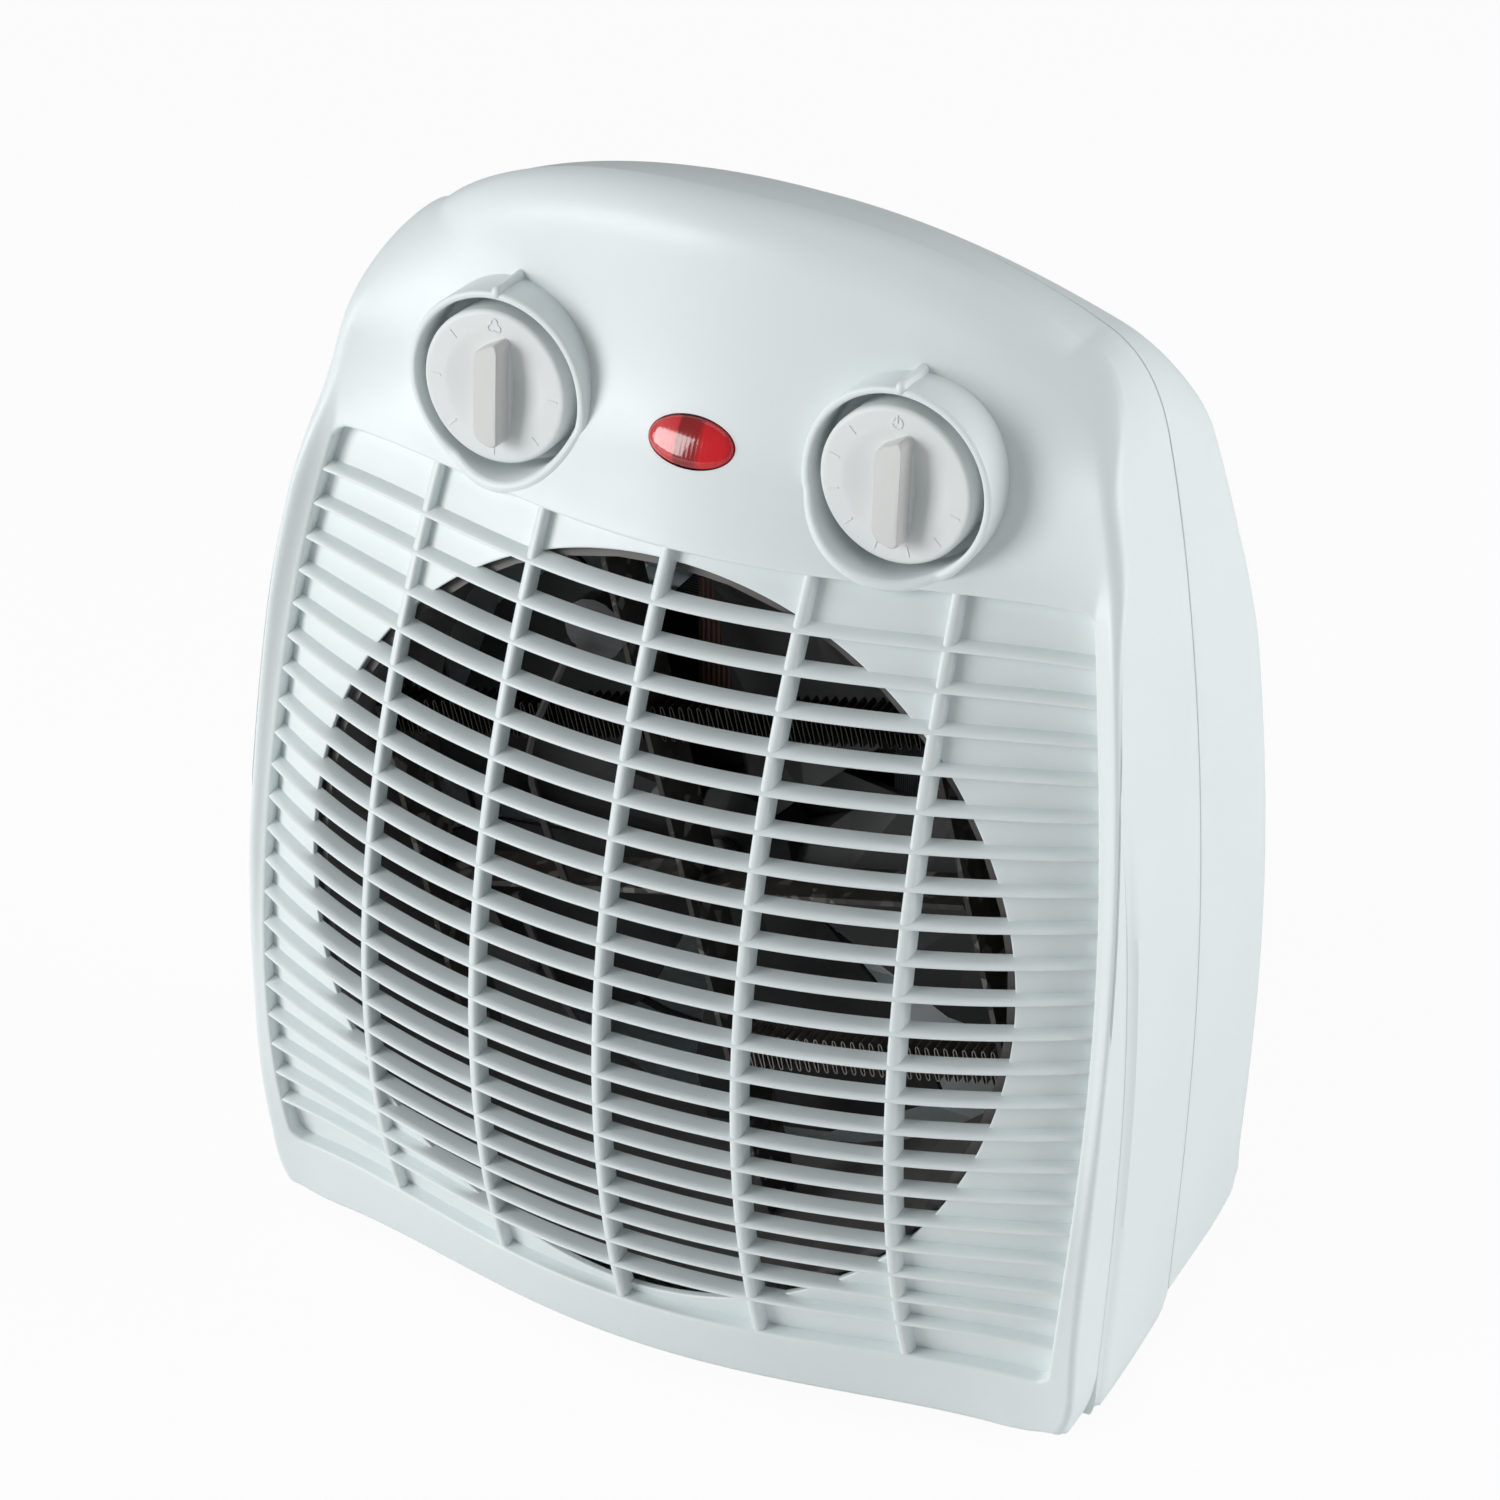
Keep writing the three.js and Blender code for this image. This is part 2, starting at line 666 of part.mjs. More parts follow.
function dialPoint(side, x, y, z) {
  const point = new THREE.Vector3(x, y, z).applyAxisAngle(new THREE.Vector3(1, 0, 0), -DIAL_TILT);
  return point.add(new THREE.Vector3(side * DIAL_X, DIAL_Y, DIAL_Z));
}

function dialRod(side, radius, y0, y1, sides) {
  const geometry = new THREE.CylinderGeometry(radius, radius, y1 - y0, sides);
  geometry.translate(0, (y0 + y1) / 2, 0);
  return atDial(geometry, side);
}

// A collar's front rim stands upright on the dial's axis, but follows the face where the face
// comes in front of it.
function collarFront(side, angle) {
  const x = side * DIAL_X + COLLAR_OUT * Math.cos(angle);
  const up = COLLAR_OUT * Math.sin(angle);
  const rim = DIAL_Y + up * Math.sin(DIAL_TILT);
  return Math.min(0, faceDepth(x, DIAL_Z + up * Math.cos(DIAL_TILT)) + CLEAR - rim);
}

function collarPlug(side) {
  const sides = 32;
  const ring = (depthAt) => {
    const points = [];
    for (let i = 0; i < sides; i++) {
      const angle = (i / sides) * 2 * Math.PI;
      const x = COLLAR_OUT * Math.cos(angle);
      points.push(dialPoint(side, x, depthAt(angle), COLLAR_OUT * Math.sin(angle)));
    }
    return points;
  };
  return ringSolid([ring((angle) => collarFront(side, angle)), ring(() => COLLAR_FLOOR + 2)], false);
}

function pointerRib(side) {
  const geometry = new THREE.BoxGeometry(POINTER_WIDTH, POINTER_LENGTH, POINTER_HEIGHT);
  geometry.translate(0, POINTER_LENGTH / 2 + 0.1, COLLAR_OUT);
  return atDial(geometry, side);
}

// Places a shape drawn round its own y axis behind the lamp's oval hole.
function atLamp(geometry) {
  geometry.rotateX(-LAMP_TILT);
  geometry.translate(0, LAMP_Y, LAMP_Z);
  return solid(geometry);
}

function lampRod(halfWidth, halfHeight, y0, y1) {
  const geometry = new THREE.CylinderGeometry(1, 1, y1 - y0, 24);
  geometry.translate(0, (y0 + y1) / 2, 0);
  geometry.scale(halfWidth, 1, halfHeight);
  return atLamp(geometry);
}

function frontCover() {
  let body = join(frontShell(), louvrePanel(), louvreLattice());
  for (const side of [-1, 1]) {
    body = join(body, collarPlug(side), pointerRib(side));
    body = cut(body, dialRod(side, COLLAR_IN, -12, COLLAR_FLOOR, 32));
    body = cut(body, dialRod(side, 3.6, COLLAR_FLOOR - 1, COLLAR_FLOOR + 6, 10));
  }
  for (const [x, z] of SCREW_PLACES) {
    const depth = faceDepth(x, z) + (z < FACE_Z ? PANEL_FRONT + 0.8 : WALL - 1);
    body = join(body, rodY(x, z, 5, depth, seamDepth(z) - 3, 8));
    body = cut(body, rodY(x, z, 1.9, seamDepth(z) - SCREW_LENGTH + 4, seamDepth(z), 6));
  }
  const lampHole = lampRod(LAMP_HALF_WIDTH + CLEAR, LAMP_HALF_HEIGHT + CLEAR, -8, 12);
  return cut(body, lampHole);
}

// Depth of the back face: upright below, leaning forward towards the top.
function backDepth(z) {
  const over = Math.max(0, z - BACK_LEAN_Z);
  return BACK_Y - (BACK_LEAN * over * over) / (over + BACK_EASE);
}

// A point behind the seam: the top falls away at once, the sides swell a little, and the
// underside rises.
function rearPoint(spoke, y, extra, inset) {
  const { edge } = spoke;
  const behind = Math.max(0, y - seamDepth(edge.z));
  const fall = TOP_FALL * THREE.MathUtils.smoothstep(edge.z, ...TOP_FALLS) * behind;
  const side = Math.max(0, 1 - ((edge.z - BELLY_Z) / BELLY_HALF) ** 2);
  const belly = (REAR_BELLY * side * behind) / (BACK_Y - SEAM_Y);
  const { x, z } = spokePoint(spoke, spoke.reach - fall + belly - extra - inset);
  return new THREE.Vector3(x, y, Math.max(z, rearUnderside(y) + inset + extra * 0.7));
}

function rearUnderside(y) {
  const rise = REAR_RISE * Math.max(0, y - SEAM_Y);
  return SEAM_BOTTOM + rise + REAR_CURL * Math.max(0, y - CURL_START) ** 2;
}

function rearEdgePoint(spoke, turn, inset) {
  const rim = spokePoint(spoke, spoke.reach - BACK_RADIUS);
  const extra = BACK_RADIUS * (1 - Math.sin((turn * Math.PI) / 2));
  const forward = BACK_RADIUS * (1 - Math.cos((turn * Math.PI) / 2));
  const y = backDepth(rim.z) - forward - inset;
  return rearPoint(spoke, y, extra, inset);
}

function backPoint(spoke, share, inset) {
  const rim = rearEdgePoint(spoke, 0, inset);
  const x = rim.x * share;
  const z = OUTLET_Z + (rim.z - OUTLET_Z) * share;
  return new THREE.Vector3(x, backDepth(z) - inset, z);
}

function rearShell() {
  const start = (spoke, more, inset) =>
    rearPoint(spoke, seamDepth(spoke.edge.z) + SEAM_GAP + more, 0, inset);
  const rings = [];
  for (const share of [0.35, 0.7]) {
    rings.push(SPOKES.map((spoke) => backPoint(spoke, share, 0)));
  }
  for (const turn of [0, 0.3, 0.65, 1]) {
    rings.push(SPOKES.map((spoke) => rearEdgePoint(spoke, turn, 0)));
  }
  rings.push(SPOKES.map((spoke) => start(spoke, 0, 0)));
  rings.push(SPOKES.map((spoke) => start(spoke, 0, WALL + CLEAR)));
  rings.push(SPOKES.map((spoke) => start(spoke, -3, WALL + 1.3)));
  rings.push(SPOKES.map((spoke) => start(spoke, -3, WALL + 2.5)));
  rings.push(SPOKES.map((spoke) => start(spoke, 2, WALL + 2.5)));
  rings.push(SPOKES.map((spoke) => rearEdgePoint(spoke, 1, WALL)));
  rings.push(SPOKES.map((spoke) => rearEdgePoint(spoke, 0, WALL)));
  rings.push(SPOKES.map((spoke) => backPoint(spoke, 0.5, WALL)));
  return ringSolid(rings.reverse(), false);
}

// The round intake in the back face: a flat slotted plate on a short skirt.
function intakeGrille() {
  let plate = rodY(0, OUTLET_Z, INTAKE_R, BACK_Y - 2, BACK_Y + 0.4, 36);
  for (let row = -6; row <= 6; row++) {
    const z = OUTLET_Z + row * INTAKE_PITCH;
    const reach = Math.sqrt(INTAKE_FIELD ** 2 - (row * INTAKE_PITCH) ** 2);
    for (const [from, to] of [[-reach, -3], [3, reach]]) {
      plate = cut(plate, box(from, to, BACK_Y - 4, BACK_Y + 2, z - 2.2, z + 2.2));
    }
  }
  const skirt = cut(
    rodY(0, OUTLET_Z, INTAKE_R, 107, BACK_Y - 0.5, 36),
    rodY(0, OUTLET_Z, INTAKE_R - 2, 100, BACK_Y + 1, 36),
  );
  return join(plate, skirt);
}

// A rounded pad moulded on each rear side edge.
function edgePad(side) {
  const points = [
    new THREE.Vector2(0, 0),
    new THREE.Vector2(3.4, 1.2),
    new THREE.Vector2(4.4, 4),
    new THREE.Vector2(4.4, PAD_TALL - 4),
    new THREE.Vector2(3.4, PAD_TALL - 1.2),
    new THREE.Vector2(0, PAD_TALL),
  ];
  const geometry = new THREE.LatheGeometry(points, 12);
  geometry.rotateX(Math.PI / 2);
  geometry.translate(side * PAD_X, PAD_Y, PAD_Z);
  return solid(geometry);
}

function rearCover() {
  let body = cut(rearShell(), rodY(0, OUTLET_Z, INTAKE_R - 1, 100, 125, 36));
  body = join(body, intakeGrille(), edgePad(-1), edgePad(1));
  for (const [x, z] of SCREW_PLACES) {
    const back = backDepth(z);
    const seam = seamDepth(z);
    body = join(body, rodY(x, z, 6, seam + 0.5, back - 1.5, 10));
    body = cut(body, rodY(x, z, 4, seam + WELL_DEPTH - 2, back + 8, 10));
    body = cut(body, rodY(x, z, 2.1, seam - 4, seam + WELL_DEPTH, 8));
  }
  for (const side of [-1, 1]) {
    const top = rearUnderside(FOOT_PLACES.rear + LEG_R) + 1;
    const leg = new THREE.CylinderGeometry(LEG_R, LEG_R - 1.5, top - BODY_BOTTOM, 14);
    leg.rotateX(Math.PI / 2);
    leg.translate(side * FOOT_X, FOOT_PLACES.rear, (top + BODY_BOTTOM) / 2);
    body = join(body, solid(leg));
  }
  return cut(body, rodY(INLET_X, INLET_Z, 6.3, 105, 125, 16));
}

// A grip that rises from its left edge to its right one.
function gripRidge(side) {
  const width = GRIP_OUTLINE[0][0];
  const height = (x) => THREE.MathUtils.mapLinear(x, -width, width, GRIP_LOW, GRIP_HIGH);
  const ring = (depthAt) => GRIP_OUTLINE.map(([x, z]) => dialPoint(side, x, depthAt(x), z));
  return ringSolid([ring((x) => -DIAL_PROUD - height(x)), ring(() => 0.5 - DIAL_PROUD)], false);
}

// A control knob drawn round its own axis: a shallow dial with a grip across it.
function dialKnob(side) {
  const profile = [
    [0, -DIAL_PROUD],
    [DIAL_R - 1.4, -DIAL_PROUD],
    [DIAL_R - 0.4, -DIAL_PROUD + 0.4],
    [DIAL_R, -DIAL_PROUD + 1.4],
    [DIAL_R, DIAL_BACK],
    [0, DIAL_BACK],
  ];
  const points = profile.map(([radius, y]) => new THREE.Vector2(radius, y));
  const dial = atDial(new THREE.LatheGeometry(points, 24), side);
  const socket = dialRod(side, KNOB_SHAFT_R + CLEAR, 1, DIAL_BACK + 1, 12);
  return cut(join(dial, gripRidge(side)), socket);
}

function knobShaft(side) {
  return dialRod(side, KNOB_SHAFT_R, 1.5, KNOB_SHAFT_END, 12);
}

// The switch or thermostat behind a dial: a block with a bush round the shaft.
function controlBody(side, width, depth) {
  const start = COLLAR_FLOOR + 2.6;
  const block = new THREE.BoxGeometry(width, depth, 26);
  block.translate(0, start + 2 + depth / 2, 0);
  const bush = dialRod(side, 6, start, start + 3, 14);
  const bore = dialRod(side, KNOB_SHAFT_R + CLEAR, start - 1, KNOB_SHAFT_END + 1, 12);
  return cut(join(atDial(block, side), bush), bore);
}

// A shallow domed oval lens with a stepped rim that sits in the cover's oval hole.
function lampLens() {
  const profile = [
    [0, -1.5],
    [0.45, -1.3],
    [0.8, -0.7],
    [1, 0.1],
    [1, 4],
    [0.8, 4],
    [0.8, 1.6],
    [0, 1.2],
  ];
  const points = profile.map(([radius, y]) => new THREE.Vector2(radius, y));
  const geometry = new THREE.LatheGeometry(points, 24);
  geometry.scale(LAMP_HALF_WIDTH, 1, LAMP_HALF_HEIGHT);
  return atLamp(geometry);
}

function neonLamp() {
  const points = [
    new THREE.Vector2(0, 2.8),
    new THREE.Vector2(1.6, 3.2),
    new THREE.Vector2(NEON_R, 4.4),
    new THREE.Vector2(NEON_R, NEON_END),
    new THREE.Vector2(0, NEON_END),
  ];
  return atLamp(new THREE.LatheGeometry(points, 12));
}

// An oval plug in the back of the lens, bored for the little neon lamp.
function lampHolder() {
  const share = 0.8;
  const plug = lampRod(LAMP_HALF_WIDTH * share - CLEAR, LAMP_HALF_HEIGHT * share - CLEAR, 2.4, 15);
  return cut(plug, lampRod(NEON_R + CLEAR, NEON_R + CLEAR, 1, NEON_END + CLEAR));
}

// The round duct: its front edge follows the back of the louvred panel.
function fanDuct() {
  const sides = 40;
  const ring = (radius, depthAt) => {
    const points = [];
    for (let i = 0; i < sides; i++) {
      const angle = (i / sides) * 2 * Math.PI;
      const x = radius * Math.cos(angle);
      const z = OUTLET_Z + radius * Math.sin(angle);
      points.push(new THREE.Vector3(x, depthAt(x, z), z));
    }
    return points;
  };
  const behindPanel = (x, z) => faceDepth(x, z) + FRAME_DEPTH + 1.2;
  const back = () => DUCT_BACK;
  const rings = [
    ring(DUCT_IN, behindPanel),
    ring(DUCT_OUT, behindPanel),
    ring(DUCT_OUT, () => DUCT_BACK - 3),
    ring(DUCT_OUT + 5, () => DUCT_BACK - 3),
    ring(DUCT_OUT + 5, back),
    ring(DUCT_IN, back),
  ];
  return ringSolid(rings, true);
}

// The element: two mica boards halved together and turned a little, with an end board on each
// side. Shapes are drawn along the boards, then turned about the outlet centre.
function elementPoint(u, y, v) {
  const p = new THREE.Vector2(u, v).rotateAround(new THREE.Vector2(), ELEMENT_TURN);
  return new THREE.Vector3(p.x, y, OUTLET_Z + p.y);
}

function elementBox(u0, u1, y0, y1, v0, v1) {
  const ring = (y) => [
    elementPoint(u0, y, v0),
    elementPoint(u1, y, v0),
    elementPoint(u1, y, v1),
    elementPoint(u0, y, v1),
  ];
  return ringSolid([ring(y0), ring(y1)], false);
}

function micaBoard(upright) {
  const middle = (BOARD_FRONT + BOARD_BACK) / 2;
  const slot = BOARD_HALF + CLEAR;
  if (upright) {
    const board = elementBox(-BOARD_HALF, BOARD_HALF, BOARD_FRONT, BOARD_BACK, -BOARD_REACH, BOARD_REACH);
    return cut(board, elementBox(-2, 2, BOARD_FRONT - 1, middle + 0.15, -slot, slot));
  }
  const reach = END_BOARD - CLEAR;
  const board = elementBox(-reach, reach, BOARD_FRONT, BOARD_BACK, -BOARD_HALF, BOARD_HALF);
  return cut(board, elementBox(-slot, slot, middle - 0.15, BOARD_BACK + 1, -2, 2));
}

function micaEndBoard(side) {
  const near = side * END_BOARD;
  const far = side * (END_BOARD + 1.2);
  return elementBox(Math.min(near, far), Math.max(near, far), BOARD_FRONT, BOARD_BACK, -42, 42);
}

// A heating ribbon: a strip folded to and fro from the upright board to an end board.
function heatingRibbon(side, level) {
  const start = BOARD_HALF + CLEAR;
  const length = END_BOARD - CLEAR - start;
  const thickness = 0.9;
  const rings = [];
  for (let i = 0; i <= RIBBON_FOLDS; i++) {
    const u = side * (start + (length * i) / RIBBON_FOLDS);
    const v = level + (i % 2 === 0 ? -RIBBON_SWING : RIBBON_SWING);
    const ring = [
      elementPoint(u, RIBBON_FRONT, v - thickness),
      elementPoint(u, RIBBON_FRONT, v + thickness),
      elementPoint(u, RIBBON_FRONT + RIBBON_WIDTH, v + thickness),
      elementPoint(u, RIBBON_FRONT + RIBBON_WIDTH, v - thickness),
    ];
    rings.push(ring);
  }
  return ringSolid(side > 0 ? rings : rings.reverse(), false);
}

function thermalCutOut() {
  const place = elementPoint(-BOARD_HALF - CLEAR - 7, 0, 60);
  const profile = [[0, 42], [7, 42], [7, 46], [4, 46], [4, 48], [0, 48]];
  return turnedY(profile, place.x, place.z, 16);
}

// A ceramic terminal strip on the back wall.
function terminalBlock() {
  const half = 12;
  const front = INNER_BACK - 10;
  let block = box(TERMINAL_X - half, TERMINAL_X + half, front, INNER_BACK, TERMINAL_Z, TERMINAL_Z + 10);
  for (const place of [-1, 0, 1]) {
    const hole = new THREE.CylinderGeometry(1.8, 1.8, 12, 8);
    hole.rotateX(Math.PI / 2);
    hole.translate(TERMINAL_X + place * TERMINAL_PITCH, INNER_BACK - 5, TERMINAL_Z);
    block = cut(block, solid(hole));
  }
  return block;
}

// An insulated lead along a smooth line through some points.
function wire(points) {
  const curve = new THREE.CatmullRomCurve3(points.map((p) => new THREE.Vector3(...p)));
  const section = new THREE.Shape();
  section.absarc(0, 0, LEAD_R, 0, 2 * Math.PI, false);
  const geometry = new THREE.ExtrudeGeometry(section, {
    steps: points.length * 2,
    curveSegments: 3,
    extrudePath: curve,
  });
  return solid(geometry);
}

// The impeller: five broad twisted blades on a hub.
function fanImpeller() {
  let fan = turnedY(
    [[0, FAN_Y - 8], [11, FAN_Y - 7], [14, FAN_Y - 4], [14, FAN_Y + 6], [0, FAN_Y + 6]],
    0,
    OUTLET_Z,
    20,
  );
  for (let i = 0; i < BLADES; i++) {
    fan = join(fan, fanBlade((i / BLADES) * 2 * Math.PI));
  }
  return cut(fan, rodY(0, OUTLET_Z, SHAFT_R + CLEAR, FAN_Y - 9, FAN_Y + 7, 12));
}

function fanBlade(start) {
  const stations = [12, 26, 42, 58, FAN_R];
  const spread = [0.42, 0.44, 0.46, 0.47, 0.4];
  const pitch = [5, 5.2, 5, 4.6, 4];
  const rings = stations.map((radius, i) => {
    const corner = (turn, depth) => {
      const angle = start + turn;
      return new THREE.Vector3(
        radius * Math.cos(angle),
        FAN_Y + depth,
        OUTLET_Z + radius * Math.sin(angle),
      );
    };
    const half = 0.6;
    return [
      corner(-spread[i], -pitch[i] - half),
      corner(0, -half * 2),
      corner(spread[i], pitch[i] - half),
      corner(spread[i], pitch[i] + half),
      corner(0, 0),
      corner(-spread[i], -pitch[i] + half),
    ];
  });
  return ringSolid(rings, false);
}

function impellerClip() {
  const bore = SHAFT_R + CLEAR;
  return turnedY([[bore, 55], [5, 55], [5, 56.1], [bore, 56.1], [bore, 55]], 0, OUTLET_Z, 12);
}

function motorShaft() {
  return rodY(0, OUTLET_Z, SHAFT_R, 54.2, 106, 16);
}

function motorRotor() {
  const rotor = rodY(0, OUTLET_Z, ROTOR_R, STATOR_Y + 0.4, STATOR_Y + STACK - 0.4, 20);
  return cut(rotor, rodY(0, OUTLET_Z, SHAFT_R + CLEAR, 70, 110, 16));
}

function roundHole(x, z, radius) {
  const hole = new THREE.Path();
  hole.absarc(x, z, radius, 0, 2 * Math.PI, true);
  return hole;
}

function rectangle(target, x0, x1, z0, z1) {
  target.moveTo(x0, z0);
  target.lineTo(x1, z0);
  target.lineTo(x1, z1);
  target.lineTo(x0, z1);
  target.closePath();
  return target;
}

// The laminated iron core: the rotor turns in its round hole, the coil sits on its upper limb.
function statorCore() {
  const core = rectangle(new THREE.Shape(), -CORE_HALF, CORE_HALF, OUTLET_Z - 20, OUTLET_Z + 42);
  core.holes.push(roundHole(0, OUTLET_Z, ROTOR_R + 0.5));
  core.holes.push(rectangle(new THREE.Path(), -WINDOW_HALF, WINDOW_HALF, OUTLET_Z + 19, OUTLET_Z + 33));
  return plateY(core, STATOR_Y, STATOR_Y + STACK);
}

function motorCoil() {
  const low = OUTLET_Z + 20;
  const high = OUTLET_Z + 54;
  const outer = box(-16, 16, STATOR_Y - 5, STATOR_Y + STACK + 7, low + 5, high);
  const limb = box(-17, 17, STATOR_Y - CLEAR, STATOR_Y + STACK + CLEAR, OUTLET_Z + 32.7, OUTLET_Z + 42.3);
  return cut(outer, limb);
}

// A strap across one face of the motor, dished out to carry the shaft's bush.
function bearingStrap(y0, y1) {
  const strap = box(-26, 26, y0, y1, OUTLET_Z - 8, OUTLET_Z + 8);
  const holes = [-1, 1].map((side) => rodY(side * STRAP_SCREW_X, OUTLET_Z, 1.9, y0 - 1, y1 + 1, 8));
  return cut(strap, rodY(0, OUTLET_Z, 5.3, y0 - 1, y1 + 1, 16), ...holes);
}

function shaftBush(y0, y1) {
  const bush = rodY(0, OUTLET_Z, 5, y0, y1, 16);
  return cut(bush, rodY(0, OUTLET_Z, SHAFT_R + CLEAR, y0 - 1, y1 + 1, 16));
}

// The steel strap that carries the motor on the duct's back flange.
function motorBracket() {
  const plate = new THREE.Shape();
  plate.moveTo(-85, OUTLET_Z - 9);
  plate.lineTo(-20, OUTLET_Z - 18);
  plate.lineTo(20, OUTLET_Z - 18);
  plate.lineTo(85, OUTLET_Z - 9);
  plate.lineTo(85, OUTLET_Z + 9);
  plate.lineTo(20, OUTLET_Z + 18);
  plate.lineTo(-20, OUTLET_Z + 18);
  plate.lineTo(-85, OUTLET_Z + 9);
  plate.closePath();
  plate.holes.push(roundHole(0, OUTLET_Z, 8));
  for (const side of [-1, 1]) plate.holes.push(roundHole(side * STRAP_SCREW_X, OUTLET_Z, 1.9));
  return plateY(plate, BRACKET_Y, BRACKET_Y + 1.6, 6);
}

// A screw along y with its head at the given depth; a negative length points to the front.
function screw(x, z, headY, length, headR, shankR) {
  const tip = headY + length;
  const under = headY + Math.sign(length) * 1.6;
  const profile = [[0, headY], [headR, headY], [headR, under], [shankR, under], [shankR, tip], [0, tip]];
  return turnedY(length < 0 ? profile.reverse() : profile, x, z, 8);
}

function cordInletBush() {
  const flange = BACK_Y + CLEAR;
  const profile = [
    [2.6, flange - 6.8],
    [6, flange - 6.8],
    [6, flange],
    [9.5, flange],
    [9.5, flange + 0.6],
    [4.4, BODY_DEPTH],
    [2.6, BODY_DEPTH],
    [2.6, flange - 6.8],
  ];
  return turnedY(profile, INLET_X, INLET_Z, 14);
}

function cordClamp() {
  return box(INLET_X - 7, INLET_X + 7, INNER_BACK - 6, INNER_BACK, CLAMP_TOP - 4, CLAMP_TOP);
}

function rubberFoot(x, y) {
  const points = [
    new THREE.Vector2(0, 0),
    new THREE.Vector2(6, 0),
    new THREE.Vector2(7, 1),
    new THREE.Vector2(7, FOOT_TOP),
    new THREE.Vector2(0, FOOT_TOP),
  ];
  const geometry = new THREE.LatheGeometry(points, 14);
  geometry.rotateX(Math.PI / 2);
  geometry.translate(x, y, 0);
  return solid(geometry);
}

const root = new THREE.Group();
root.position.y = -BODY_DEPTH / 2;

function add(name, body, material) {
  const mesh = new THREE.Mesh(geometryOf(body), material);
  mesh.name = name;
  root.add(mesh);
}

add("front_cover", frontCover(), whitePlastic());
add("rear_cover", rearCover(), whitePlastic());
add("lamp_lens", lampLens(), redPlastic());
add("neon_lamp", neonLamp(), glass());
add("lamp_holder", lampHolder(), blackPlastic());
add("function_knob", dialKnob(-1), dialPlastic());
add("function_shaft", knobShaft(-1), steel());
add("function_switch", controlBody(-1, 28, 16), blackPlastic());
add("thermostat_knob", dialKnob(1), dialPlastic());
add("thermostat_shaft", knobShaft(1), steel());
add("thermostat", controlBody(1, 20, 12), mica());
add("fan_duct", fanDuct(), greyPlastic());
add("mica_board_upright", micaBoard(true), mica());
add("mica_board_level", micaBoard(false), mica());
add("mica_end_board_left", micaEndBoard(-1), mica());
add("mica_end_board_right", micaEndBoard(1), mica());
add("heating_ribbon_lower", heatingRibbon(1, -RIBBON_LEVEL), steel());
add("heating_ribbon_upper_right", heatingRibbon(1, RIBBON_LEVEL), steel());
add("heating_ribbon_upper_left", heatingRibbon(-1, RIBBON_LEVEL), steel());
add("thermal_cut_out", thermalCutOut(), steel());
add("terminal_block", terminalBlock(), mica());
for (const [name, points] of Object.entries(WIRES)) add(name, wire(points), rubber());
add("fan_impeller", fanImpeller(), greyPlastic());
add("impeller_clip", impellerClip(), steel());
add("motor_shaft", motorShaft(), steel());
add("motor_rotor", motorRotor(), steel());
add("stator_core", statorCore(), steel());
add("motor_coil", motorCoil(), copper());
add("motor_bracket", motorBracket(), steel());
add("bearing_strap_front", bearingStrap(BRACKET_Y + 1.6 + CLEAR, STATOR_Y - CLEAR), steel());
add("bearing_strap_rear", bearingStrap(STATOR_Y + STACK + CLEAR, STATOR_Y + STACK + 4), steel());
add("shaft_bush_front", shaftBush(STATOR_Y - 4.5, STATOR_Y - 0.2), brass());
add("shaft_bush_rear", shaftBush(STATOR_Y + STACK + 0.2, STATOR_Y + STACK + 4.5), brass());
add("cord_inlet_bush", cordInletBush(), rubber());
add("cord_clamp", cordClamp(), mica());
for (const [end, y] of Object.entries(FOOT_PLACES)) {
  add(`foot_${end}_left`, rubberFoot(-FOOT_X, y), rubber());
  add(`foot_${end}_right`, rubberFoot(FOOT_X, y), rubber());
}
for (const [i, [x, z]] of SCREW_PLACES.entries()) {
  const head = seamDepth(z) + WELL_DEPTH;
  add(`case_screw_${i + 1}`, screw(x, z, head, -SCREW_LENGTH, 3.5, 1.5), steel());
}
for (const [i, side] of [-1, 1].entries()) {
  const x = side * STRAP_SCREW_X;
  add(`motor_screw_${i + 1}`, screw(x, OUTLET_Z, BRACKET_Y - 1.9, 9, 2.6, 1.5), steel());
}

export default root;
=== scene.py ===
"""Looks for an upright fan heater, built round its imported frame.

Shapes are drawn in millimetres with y = 0 at the front-most point of the casing, as the solids
are, and moved to the frame's metres when a mesh is made.
"""
import math

import bmesh
import bpy
import numpy as np
from mathutils import Matrix, Vector


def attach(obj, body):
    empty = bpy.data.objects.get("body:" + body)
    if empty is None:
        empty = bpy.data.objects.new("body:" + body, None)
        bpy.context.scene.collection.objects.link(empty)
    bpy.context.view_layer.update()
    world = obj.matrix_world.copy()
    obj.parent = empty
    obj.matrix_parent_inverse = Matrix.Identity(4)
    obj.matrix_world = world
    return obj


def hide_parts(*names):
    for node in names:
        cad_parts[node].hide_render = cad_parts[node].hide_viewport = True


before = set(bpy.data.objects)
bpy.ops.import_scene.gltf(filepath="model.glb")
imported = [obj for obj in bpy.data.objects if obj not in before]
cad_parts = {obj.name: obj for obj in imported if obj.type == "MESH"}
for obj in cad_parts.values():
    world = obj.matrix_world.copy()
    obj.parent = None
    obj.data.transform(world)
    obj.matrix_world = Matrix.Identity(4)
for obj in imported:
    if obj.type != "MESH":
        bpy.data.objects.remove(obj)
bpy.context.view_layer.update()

MM = 0.001

# Casing
HALF_DEPTH, HALF_WIDTH = 59.5, 99.8
SEAM_Y, SEAM_FOOT, SEAM_LEAN, SEAM_GAP, WALL = 76.5, 76.2, 0.03, 0.3, 2.2
BODY_BOTTOM, PLATE_BOTTOM, SEAM_BOTTOM = 4.2, 2.5, 10.8
PLATE_BACK, PLATE_CORNER = 37.4, 2.0
CORNER_TOP, CROWN, CROWN_HALF, CROWN_Y = 226.0, 7.6, 76.0, 59.1
CORNER_SWELL, SWELL_START = 2.0, 40.0
